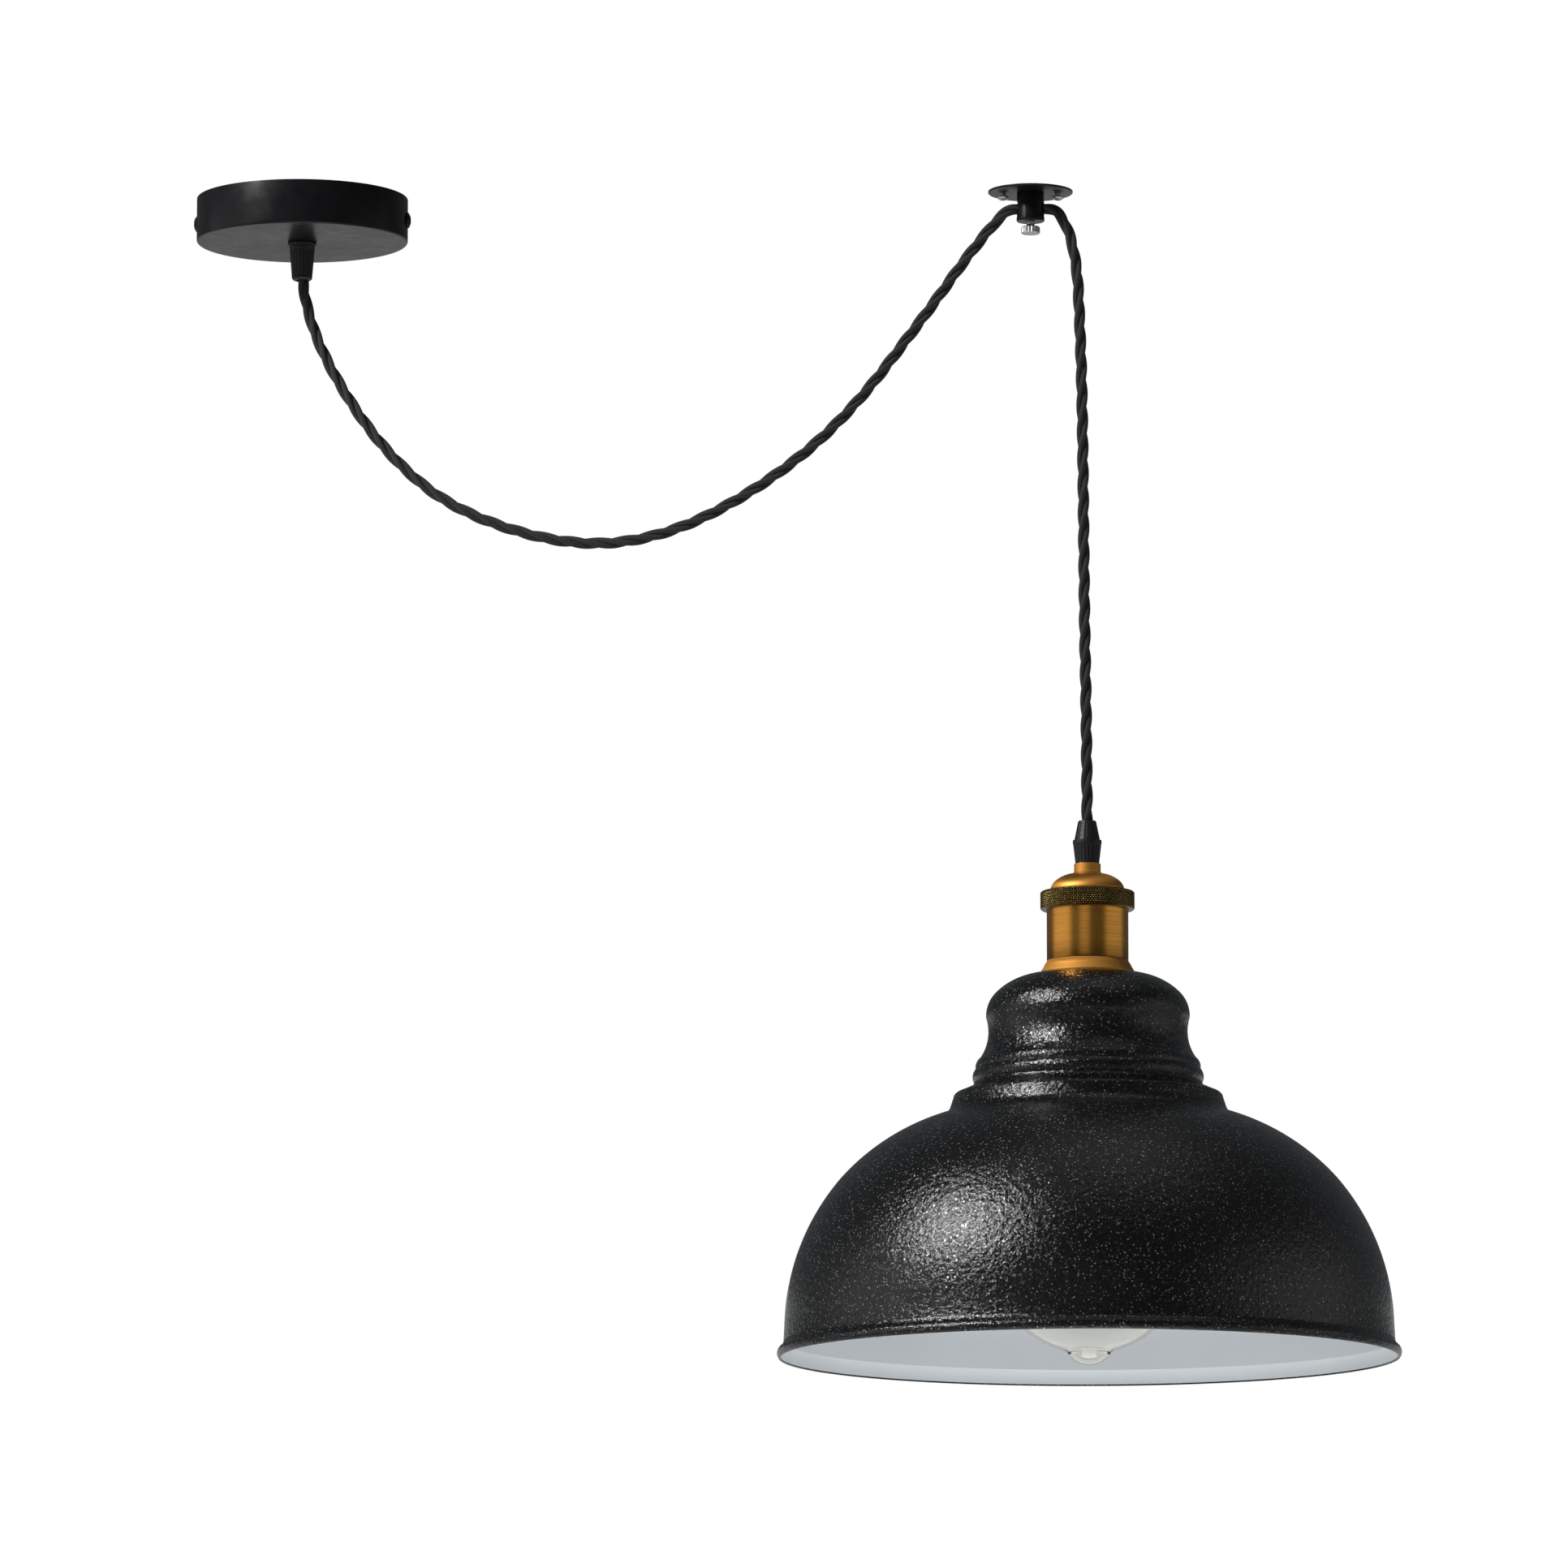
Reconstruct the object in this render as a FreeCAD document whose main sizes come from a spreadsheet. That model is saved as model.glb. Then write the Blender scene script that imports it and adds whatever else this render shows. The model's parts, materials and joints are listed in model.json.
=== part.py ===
import FreeCAD, Part
import math
import os
import Sketcher
from types import SimpleNamespace
from FreeCAD import Placement, Rotation, Vector

# Swag pendant ceiling light: a ceiling rose, a twisted cord that loops to a separate
# ceiling clamp, and a bell shade that hangs below the clamp.
# Frame: millimetres, +Z up. The origin is the centre of the ceiling rose on the ceiling.

# ------------------------------------------------------------------ driving dimensions
SIZES = {
    # ceiling rose
    "rose_radius": 50.0,
    "rose_depth": 20.9,
    "rose_wall": 1.2,
    "rose_edge": 1.5,
    "rose_turn": -5.6,
    "bracket_length": 95.0,
    "bracket_width": 16.0,
    "bracket_wall": 1.5,
    "bracket_tab": 16.0,
    "side_screw_drop": 11.0,
    "ceiling_hole_pitch": 60.0,
    "ceiling_hole_radius": 2.25,
    "block_length": 30.0,
    "block_width": 13.0,
    "block_depth": 11.0,
    "block_offset": 16.0,
    "block_pole_pitch": 10.0,
    # cord grips, one in the rose and one on the lamp
    "stem_radius": 5.0,
    "stem_bore": 3.5,
    "grip_collar": 6.75,
    "grip_wide": 6.05,
    "grip_spigot": 4.2,
    "grip_mouth": 2.95,
    "fit_gap": 0.05,
    # ceiling clamp
    "clamp_x": 344.7,
    "clamp_y": -20.0,
    "plate_radius": 20.0,
    "plate_wall": 1.0,
    "plate_screw_offset": 13.0,
    "plate_screw_collar": 1.5,
    "barrel_radius": 6.6,
    "barrel_bottom": 14.6,
    "cord_bore_drop": 7.9,
    "cord_bore": 3.5,
    "thumb_stem": 2.0,
    "thumb_radius": 4.45,
    "thumb_bottom": 20.5,
    "thumb_grip": 3.5,
    # cord
    "cord_diameter": 5.6,
    "wire_diameter": 2.1,
    # lamp
    "lamp_x": 370.3,
    "lamp_y": -20.0,
    "shade_top": 373.0,
    "shade_wall": 1.0,
    "shade_hole": 17.5,
    "skirt_radius": 22.2,
    "skirt_height": 6.4,
    "holder_radius": 19.1,
    "holder_wall": 1.2,
    "holder_top": 36.1,
    "knurl_radius": 22.05,
    "knurl_low": 30.5,
    "knurl_high": 39.0,
    "cap_top": 47.3,
    "bush_top": 52.3,
    "bush_radius": 6.25,
    "grip_lip_low": 61.4,
    "grip_lip_high": 63.4,
    "grip_top": 72.5,
    "liner_radius": 17.2,
    "liner_length": 12.0,
    "socket_radius": 15.7,
    "socket_low": 11.0,
    "socket_high": 27.9,
    "shell_radius": 14.5,
    # bulb
    "bulb_cap_radius": 13.2,
    "bulb_cap_top": 16.5,
    "bulb_contact_top": 19.0,
    "bulb_radius": 46.5,
    "bulb_low": 178.0,
    "glass_wall": 0.9,
}


def combine(first, sign, second):
    """Join two sizes into one, in number and in expression."""
    first, second = as_size(first), as_size(second)
    results = {
        "+": first.value + second.value,
        "-": first.value - second.value,
        "*": first.value * second.value,
        "/": first.value / second.value if second.value else 0.0,
    }
    return Size(results[sign], f"({first.text} {sign} {second.text})")


class Size:
    """A dimension with the sheet expression that gives it."""

    def __init__(self, value, text):
        self.value = value
        self.text = text

    def __add__(self, other):
        return combine(self, "+", other)

    def __radd__(self, other):
        return combine(other, "+", self)

    def __sub__(self, other):
        return combine(self, "-", other)

    def __rsub__(self, other):
        return combine(other, "-", self)

    def __mul__(self, other):
        return combine(self, "*", other)

    def __rmul__(self, other):
        return combine(other, "*", self)

    def __truediv__(self, other):
        return combine(self, "/", other)

    def __neg__(self):
        return combine(0.0, "-", self)


def as_size(value):
    """Treat a bare number as a size."""
    if isinstance(value, Size):
        return value
    return Size(float(value), f"({float(value):.6f})")


doc = FreeCAD.newDocument("swag_pendant")
sheet = doc.addObject("Spreadsheet::Sheet", "Sizes")
for row, (name, number) in enumerate(SIZES.items(), start=1):
    sheet.set(f"A{row}", name)
    sheet.set(f"B{row}", str(number))
    sheet.setAlias(f"B{row}", name)
doc.recompute()
S = SimpleNamespace(**{name: Size(number, "Sizes." + name) for name, number in SIZES.items()})

nodes = []
UP = Vector(0, 0, 1)
ALONG_X = Rotation(Vector(0, 1, 0), 90)
DOWNWARD = Rotation(Vector(1, 0, 0), 180)
NO_TURN = Rotation()
ROSE_TURN = Rotation(UP, SIZES["rose_turn"])


# ------------------------------------------------------------------------- builders
def place(piece, spot, turn=NO_TURN):
    """Put a piece at a spot whose coordinates are bound to the sheet."""
    corner = [as_size(value) for value in spot]
    piece.Placement = Placement(Vector(*(size.value for size in corner)), turn)
    for axis, size in zip("xyz", corner):
        piece.setExpression("Placement.Base." + axis, size.text)
    return piece


def keep(piece, label=None):
    """Make a finished object one of the model's nodes."""
    if label:
        piece.Label = label
    nodes.append(piece)
    return piece


def origin_plane(body, role):
    """One of the three planes of a body's own origin."""
    return next(item for item in body.Origin.OriginFeatures if item.Role == role)


def arc_centre(start, end, radius):
    """Centre of the shorter arc from start to end, anticlockwise for a positive radius."""
    chord = end - start
    left = Vector(-chord.y, chord.x, 0) * (1 / chord.Length)
    reach = math.sqrt(max(radius * radius - chord.Length ** 2 / 4, 0.0))
    return (start + end) * 0.5 + left * math.copysign(reach, radius)


def draw_side(sketch, start, end, radius):
    """Add one side of an outline and say which of its ends is which."""
    if radius is None:
        return sketch.addGeometry(Part.LineSegment(start, end), False), 1, 2
    centre = arc_centre(start, end, radius)
    first, last = (start, end) if radius > 0 else (end, start)
    angles = [math.atan2(point.y - centre.y, point.x - centre.x) for point in (first, last)]
    if angles[1] < angles[0]:
        angles[1] += 2 * math.pi
    circle = Part.Circle(centre, UP, abs(radius))
    side = sketch.addGeometry(Part.ArcOfCircle(circle, *angles), False)
    return (side, 1, 2) if radius > 0 else (side, 2, 1)


def draw_outline(sketch, outline):
    """Draw a closed outline whose corners and arc radii are bound to the sheet.

    Each corner is (across, up), or (across, up, radius) when the side that leaves
    it is an arc, anticlockwise for a positive radius.
    """
    corners = [(as_size(item[0]), as_size(item[1])) for item in outline]
    bends = [item[2] if len(item) > 2 else None for item in outline]
    points = [Vector(across.value, up.value, 0) for across, up in corners]
    sides = []
    for index, start in enumerate(points):
        end = points[(index + 1) % len(points)]
        bend = bends[index]
        sides.append(draw_side(sketch, start, end, None if bend is None else as_size(bend).value))
    for index, (side, _, last) in enumerate(sides):
        following = sides[(index + 1) % len(sides)]
        sketch.addConstraint(Sketcher.Constraint("Coincident", side, last, following[0], following[1]))
    for (side, first, _), corner, bend in zip(sides, corners, bends):
        for kind, size in zip(("DistanceX", "DistanceY"), corner):
            rule = sketch.addConstraint(Sketcher.Constraint(kind, -1, 1, side, first, size.value))
            sketch.setExpression(f"Constraints[{rule}]", size.text)
        if bend is not None:
            rule = sketch.addConstraint(Sketcher.Constraint("Radius", side, abs(as_size(bend).value)))
            sketch.setExpression(f"Constraints[{rule}]", f"abs({as_size(bend).text})")


def turned(label, outline, spot=(0, 0, 0), turn=NO_TURN):
    """A turned piece: its section, drawn as (radius, height), revolved about its axis."""
    body = doc.addObject("PartDesign::Body", label)
    sketch = body.newObject("Sketcher::SketchObject", label + "_section")
    sketch.AttachmentSupport = (origin_plane(body, "XZ_Plane"), "")
    sketch.MapMode = "FlatFace"
    draw_outline(sketch, outline)
    solid = body.newObject("PartDesign::Revolution", label + "_turning")
    solid.Profile = sketch
    solid.ReferenceAxis = (sketch, ["V_Axis"])
    solid.Angle = 360
    sketch.Visibility = False
    return place(body, spot, turn)


def padded(label, outline, height, spot=(0, 0, 0), turn=NO_TURN):
    """A plate: an outline in its own XY plane, padded up by a height."""
    body = doc.addObject("PartDesign::Body", label)
    sketch = body.newObject("Sketcher::SketchObject", label + "_outline")
    sketch.AttachmentSupport = (origin_plane(body, "XY_Plane"), "")
    sketch.MapMode = "FlatFace"
    draw_outline(sketch, outline)
    pad = body.newObject("PartDesign::Pad", label + "_pad")
    pad.Profile = sketch
    pad.setExpression("Length", as_size(height).text)
    return place(body, spot, turn)


def primitive(kind, label, sizes, spot=(0, 0, 0), turn=NO_TURN):
    """A Part primitive whose sizes are bound to the sheet."""
    piece = doc.addObject("Part::" + kind, label)
    for name, size in sizes.items():
        piece.setExpression(name, as_size(size).text)
    return place(piece, spot, turn)


def block(label, length, width, height, spot, turn=NO_TURN):
    """A box with its corner at the spot."""
    return primitive("Box", label, {"Length": length, "Width": width, "Height": height}, spot, turn)


def rod(label, radius, length, spot, turn=NO_TURN):
    """A cylinder that starts at the spot and runs along its own axis."""
    return primitive("Cylinder", label, {"Radius": radius, "Height": length}, spot, turn)


def group(label, pieces, spot=(0, 0, 0), turn=NO_TURN):
    """Several separate solids as one object."""
    compound = doc.addObject("Part::Compound", label)
    compound.Links = pieces
    return place(compound, spot, turn)


def union(label, pieces, spot=(0, 0, 0), turn=NO_TURN):
    """Several pieces joined into one solid."""
    fused = doc.addObject("Part::MultiFuse", label)
    fused.Shapes = pieces
    return place(fused, spot, turn)


def cut(label, base, tools, spot=(0, 0, 0), turn=NO_TURN):
    """A piece with tools cut out of it."""
    tool = tools[0] if len(tools) == 1 else union(label + "_tools", tools)
    result = doc.addObject("Part::Cut", label)
    result.Base = base
    result.Tool = tool
    return place(result, spot, turn)


def screw(label, head, rise, shank, length, spot, turn=NO_TURN):
    """A domed screw with a slot: its head stands up from the spot, its shank goes down."""
    shoulder = rise * 0.4
    blank = turned(label + "_blank", [
        (0, -length),
        (shank, -length),
        (shank, 0),
        (head, 0),
        (head, shoulder, head * 1.6),
        (0, rise),
    ])
    slot = block(label + "_slot", head * 1.3, 0.8, rise, (head * -0.65, -0.4, rise * 0.55))
    return cut(label, blank, [slot], spot, turn)


def unit(vector):
    """A vector's direction."""
    return vector * (1 / vector.Length)


def rounded_path(label, route):
    """Straight runs joined by tangent arcs, each as large as its two runs allow."""
    points = [Vector(*point) for point in route]
    edges, radii, start = [], [], points[0]
    for before, corner, after in zip(points, points[1:], points[2:]):
        back, ahead = unit(before - corner), unit(after - corner)
        half_turn = (math.pi - back.getAngle(ahead)) / 2
        reach = 0.45 * min((before - corner).Length, (after - corner).Length)
        radius = reach / math.tan(half_turn)
        middle = corner + unit(back + ahead) * (radius / math.cos(half_turn) - radius)
        first, last = corner + back * reach, corner + ahead * reach
        edges.append(Part.LineSegment(start, first).toShape())
        edges.append(Part.Arc(first, middle, last).toShape())
        radii.append(radius)
        start = last
    edges.append(Part.LineSegment(start, points[-1]).toShape())
    path = Part.Wire(edges)
    print(label, "length", round(path.Length, 1), "radii", [round(radius, 1) for radius in radii])
    return path


def tube(path, route, diameter):
    """A round section swept along a path."""
    start, heading = Vector(*route[0]), Vector(*route[1]) - Vector(*route[0])
    section = Part.Wire([Part.Circle(start, heading, diameter / 2).toShape()])
    return path.makePipeShell([section], True, True)


def laid_cord(label, routes, diameter):
    """One or more round cords along their routes, as one object."""
    tubes = []
    for number, route in enumerate(routes):
        path = rounded_path(f"{label}_{number}", route)
        tubes.append(tube(path, route, diameter))
        expected = math.pi * diameter ** 2 / 4 * path.Length
        if abs(tubes[-1].Volume / expected - 1) > 0.01:
            raise RuntimeError(f"{label} isn't its section times its length")
    feature = doc.addObject("Part::Feature", label)
    feature.Shape = tubes[0] if len(tubes) == 1 else Part.Compound(tubes)
    return feature


# --------------------------------------------------------------------- ceiling rose
def build_rose():
    """Cup, bracket, terminal block and the screws that hold them."""
    depth, wall, radius = S.rose_depth, S.rose_wall, S.rose_radius
    cup = turned("canopy_cup_pressing", [
        (S.stem_radius + 0.1, -depth),
        (radius - S.rose_edge, -depth, S.rose_edge),
        (radius, S.rose_edge - depth),
        (radius, 0),
        (radius - wall, 0),
        (radius - wall, S.rose_edge - depth, -(S.rose_edge - wall)),
        (radius - S.rose_edge, wall - depth),
        (S.stem_radius + 0.1, wall - depth),
    ])
    screw_holes = rod("canopy_cup_screw_holes", 2.2, radius * 2 + 10,
                      (-radius - 5, 0, -S.side_screw_drop), ALONG_X)
    key_slots = block("canopy_cup_key_slots", radius * 2 + 10, 1.2, 7.0,
                      (-radius - 5, -0.6, -S.side_screw_drop))
    keep(cut("canopy_cup", cup, [screw_holes, key_slots], turn=ROSE_TURN))

    half, width, strip_wall = S.bracket_length / 2, S.bracket_width, S.bracket_wall
    strip = block("bracket_strip", half * 2, width, strip_wall, (-half, -width / 2, -strip_wall))
    left_tab = block("bracket_left_tab", strip_wall, width, S.bracket_tab,
                     (-half, -width / 2, -S.bracket_tab))
    right_tab = block("bracket_right_tab", strip_wall, width, S.bracket_tab,
                      (half - strip_wall, -width / 2, -S.bracket_tab))
    holes = [rod("bracket_wire_hole", 6.5, 4, (0, 0, -3)),
             rod("bracket_tab_threads", 2.05, half * 2 + 4, (-half - 2, 0, -S.side_screw_drop), ALONG_X)]
    for side in (-1, 1):
        holes.append(rod("bracket_ceiling_hole", S.ceiling_hole_radius, 4,
                         (side * S.ceiling_hole_pitch / 2, 0, -3)))
    holes.append(rod("bracket_earth_thread", 2.05, 4, (17, 0, -3)))
    holes.append(rod("bracket_block_thread", 1.55, 4, (-S.block_offset, S.block_pole_pitch / 2, -3)))
    steel = union("bracket_bent_strip", [strip, left_tab, right_tab])
    keep(cut("canopy_bracket", steel, holes, turn=ROSE_TURN))

    side_screws = []
    for side in (-1, 1):
        outward = Rotation(Vector(0, 1, 0), 90 * side)
        side_screws.append(screw("canopy_side_screw", 3.75, 1.8, 2.0, 9.0,
                                 (side * radius, 0, -S.side_screw_drop), outward))
    keep(group("canopy_side_screws", side_screws, turn=ROSE_TURN))

    earth = screw("earth_screw_body", 3.6, 2.4, 2.0, strip_wall, (17, 0, -strip_wall), DOWNWARD)
    keep(group("canopy_earth_screw", [earth], turn=ROSE_TURN))

    build_terminal_block(strip_wall)


def build_terminal_block(strip_wall):
    """Three-way terminal block under the bracket, with its screws."""
    top, deep, offset = -strip_wall, S.block_depth, S.block_offset
    moulding = block("block_moulding", S.block_width, S.block_length, deep,
                     (-offset - S.block_width / 2, -S.block_length / 2, top - deep))
    bore_height = top - deep * 0.6
    cuts, terminals = [], []
    for pole in (-1, 0, 1):
        across = pole * S.block_pole_pitch
        cuts.append(rod("block_wire_bore", 1.7, S.block_width + 4,
                        (-offset - S.block_width / 2 - 2, across, bore_height), ALONG_X))
        for side in (-1, 1):
            along = -offset + side * S.block_width / 4
            cuts.append(rod("block_screw_well", 1.6, deep, (along, across, bore_height - deep)))
            terminals.append(screw("block_screw", 1.5, 0.8, 1.2, 1.6,
                                   (along, across, bore_height - 2.8), DOWNWARD))
    cuts.append(rod("block_fixing_hole", 1.6, deep + 2, (-offset, S.block_pole_pitch / 2, top - deep - 1)))
    keep(cut("terminal_block", moulding, cuts, turn=ROSE_TURN))
    keep(group("terminal_block_screws", terminals, turn=ROSE_TURN))
    fixing = screw("block_fixing", 2.8, 1.6, 1.5, deep + strip_wall,
                   (-offset, S.block_pole_pitch / 2, top - deep), DOWNWARD)
    keep(group("terminal_block_fixing_screw", [fixing], turn=ROSE_TURN))


def build_rose_grip():
    """Cord grip under the rose: stem and collar, ribbed cap, and the nut inside the cup."""
    under = -S.rose_depth
    collar = under - 1.6
    mouth = collar - 16.6
    spigot = collar - 8.0
    keep(turned("canopy_grip_base", [
        (S.stem_bore, spigot),
        (S.grip_spigot, spigot),
        (S.grip_spigot, collar),
        (S.grip_collar, collar),
        (S.grip_collar, under),
        (S.stem_radius, under),
        (S.stem_radius, under + 9.6),
        (S.stem_bore, under + 9.6),
    ]))
    keep(turned("canopy_grip_cap", [
        (S.grip_spigot + S.fit_gap, collar),
        (S.grip_wide, collar),
        (4.75, mouth + 1.5),
        (3.65, mouth),
        (S.grip_mouth, mouth),
        (S.grip_mouth, spigot - 0.5),
        (S.grip_spigot + S.fit_gap, spigot - 0.5),
    ]))
    keep(lock_nut("canopy_grip_nut", (0, 0, under + S.rose_wall)))


def lock_nut(label, spot):
    """A thin M10 hexagon nut."""
    reach = 14.0 / math.sqrt(3)
    corners = [(reach * math.cos(math.radians(60 * side)), reach * math.sin(math.radians(60 * side)))
               for side in range(6)]
    blank = padded(label + "_blank", corners, 3.0)
    return cut(label, blank, [rod(label + "_thread", S.stem_radius + S.fit_gap, 5, (0, 0, -1))], spot)


# -------------------------------------------------------------------- ceiling clamp
def build_clamp():
    """Round plate, cross-bored barrel, its screws and the thumb screw that holds the cord."""
    spot = (S.clamp_x, S.clamp_y, 0)
    plate, bore = S.plate_wall, S.cord_bore_drop
    disc = rod("hook_plate_disc", S.plate_radius, plate, (0, 0, -plate))
    sink = primitive("Cone", "hook_plate_sink", {"Radius1": 1.75, "Radius2": 3.4, "Height": plate},
                     (0, 0, -plate))
    holes = [sink]
    for side in (-1, 1):
        holes.append(rod("hook_plate_hole", 1.8, 4, (side * S.plate_screw_offset, 0, -3)))
    keep(cut("hook_plate", disc, holes, spot))

    low = -S.barrel_bottom
    turning = turned("hook_barrel_turning", [
        (0, low),
        (S.barrel_radius - 0.4, low),
        (S.barrel_radius, low + 0.4),
        (S.barrel_radius, -plate),
        (0, -plate),
    ])
    cuts = [rod("hook_barrel_cord_bore", S.cord_bore, 20, (-10, 0, -bore), ALONG_X),
            rod("hook_barrel_thumb_thread", S.thumb_stem + S.fit_gap, 6, (0, 0, low - 1)),
            rod("hook_barrel_top_thread", 1.75, 4.4, (0, 0, -4.5))]
    keep(cut("hook_barrel", turning, cuts, spot))

    keep(turned("hook_barrel_screw", [
        (0, -4.2),
        (1.7, -4.2),
        (1.7, -plate),
        (3.3, 0),
        (0, 0),
    ], spot))
    screws = []
    for side in (-1, 1):
        under = (side * S.plate_screw_offset, 0, -plate - S.plate_screw_collar)
        head = screw("hook_plate_screw_head", 2.8, 2.2, 1.75, plate + S.plate_screw_collar,
                     under, DOWNWARD)
        collar = rod("hook_plate_screw_collar", 2.2, S.plate_screw_collar, under)
        screws.append(union("hook_plate_screw", [head, collar]))
    keep(group("hook_plate_screws", screws, spot))

    tip_top = -bore - S.cord_diameter / 2 - 0.08
    tip_low = tip_top - 0.9
    keep(turned("clamp_tip", [
        (0, tip_low),
        (1.8, tip_low),
        (1.8, tip_top),
        (0, tip_top),
    ], spot))
    grip_top = -S.thumb_bottom + S.thumb_grip
    keep(turned("clamp_screw", [
        (0, -S.thumb_bottom),
        (S.thumb_radius - 0.4, -S.thumb_bottom),
        (S.thumb_radius, 0.4 - S.thumb_bottom),
        (S.thumb_radius, grip_top - 0.4),
        (S.thumb_radius - 0.4, grip_top),
        (S.thumb_stem + 0.5, grip_top),
        (S.thumb_stem, grip_top + 0.5),
        (S.thumb_stem, tip_low - 0.02),
        (0, tip_low - 0.02),
    ], spot))


# -------------------------------------------------------------------------- cord
# Points of the cord's route, from the rose to the clamp and from the clamp to the lamp.
SWAG_ROUTE = [
    (0, 0, -30), (0, 0, -47.1), (12.7, -0.7, -81.4), (39.6, -2.3, -122.2), (73.3, -4.3, -150.9),
    (126.2, -7.3, -168), (170.7, -9.9, -164.5), (216.5, -12.6, -141.6), (257.2, -14.9, -108.6),
    (296, -17.2, -57.5), (312.5, -18.1, -34.2), (322.5, -18.7, -21.4), (328.8, -19.1, -14),
    (333.6, -19.4, -9.4), (338.2, -19.7, -7.9), (344, -20, -7.9),
]
BEND_ROUTE = [
    (344.4, -20, -7.9), (351.4, -20, -7.9), (356.8, -20, -9.2), (360.6, -20, -14.2),
    (363.9, -20, -22.8), (366.2, -20, -35.2), (367.2, -20, -46.4),
]
DROP_ROUTE = [
    (367.3, -20, -47.6), (368.9, -20, -98), (369.4, -20, -205), (370.3, -20, -262), (370.3, -20, -309),
]


def build_cord():
    """The three stretches of the twisted cord."""
    diameter = S.cord_diameter.value
    keep(laid_cord("swag_cord", [SWAG_ROUTE], diameter))
    keep(laid_cord("cord_bend", [BEND_ROUTE], diameter))
    keep(laid_cord("cord_drop", [DROP_ROUTE], diameter))


def build_wires():
    """The three conductors inside the rose and inside the lamp holder."""
    thick = S.wire_diameter.value
    entry = -S.block_offset.value + S.block_width.value / 2
    bore_height = -S.bracket_wall.value - S.block_depth.value * 0.6
    turn = math.radians(SIZES["rose_turn"])
    rose_routes = []
    for pole, sideways in ((-1, -1.3), (0, 0.0), (1, 1.3)):
        across = pole * S.block_pole_pitch.value
        inside = -0.9 if pole else 1.3
        local = [(inside, sideways, -29.5), (inside, sideways, bore_height - 1.5),
                 (-4.0, sideways + across * 0.4, bore_height + 1.2),
                 (entry + 0.2, across, bore_height), (entry - 4.5, across, bore_height)]
        if pole == 0:
            local[2] = (-3.2, sideways, bore_height + 2.6)
        rose_routes.append([(x * math.cos(turn) - y * math.sin(turn),
                             x * math.sin(turn) + y * math.cos(turn), z) for x, y, z in local])
    keep(laid_cord("canopy_wires", rose_routes, thick))

    base = -S.shade_top.value
    lamp_x, lamp_y = S.lamp_x.value, S.lamp_y.value
    ends = [(-1.25, -0.75, -8.5, -3.0, 33.5, 28.2), (1.25, -0.75, 8.5, -3.0, 33.5, 28.2),
            (0.0, 1.4, 0.0, 7.6, 35.5, 32.5)]
    lamp_routes = []
    for from_x, from_y, to_x, to_y, shoulder, foot in ends:
        lamp_routes.append([
            (lamp_x + from_x, lamp_y + from_y, base + 62.0),
            (lamp_x + from_x, lamp_y + from_y, base + 38.5),
            (lamp_x + to_x, lamp_y + to_y, base + shoulder),
            (lamp_x + to_x, lamp_y + to_y, base + foot),
        ])
    keep(laid_cord("holder_wires", lamp_routes, thick))


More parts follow.
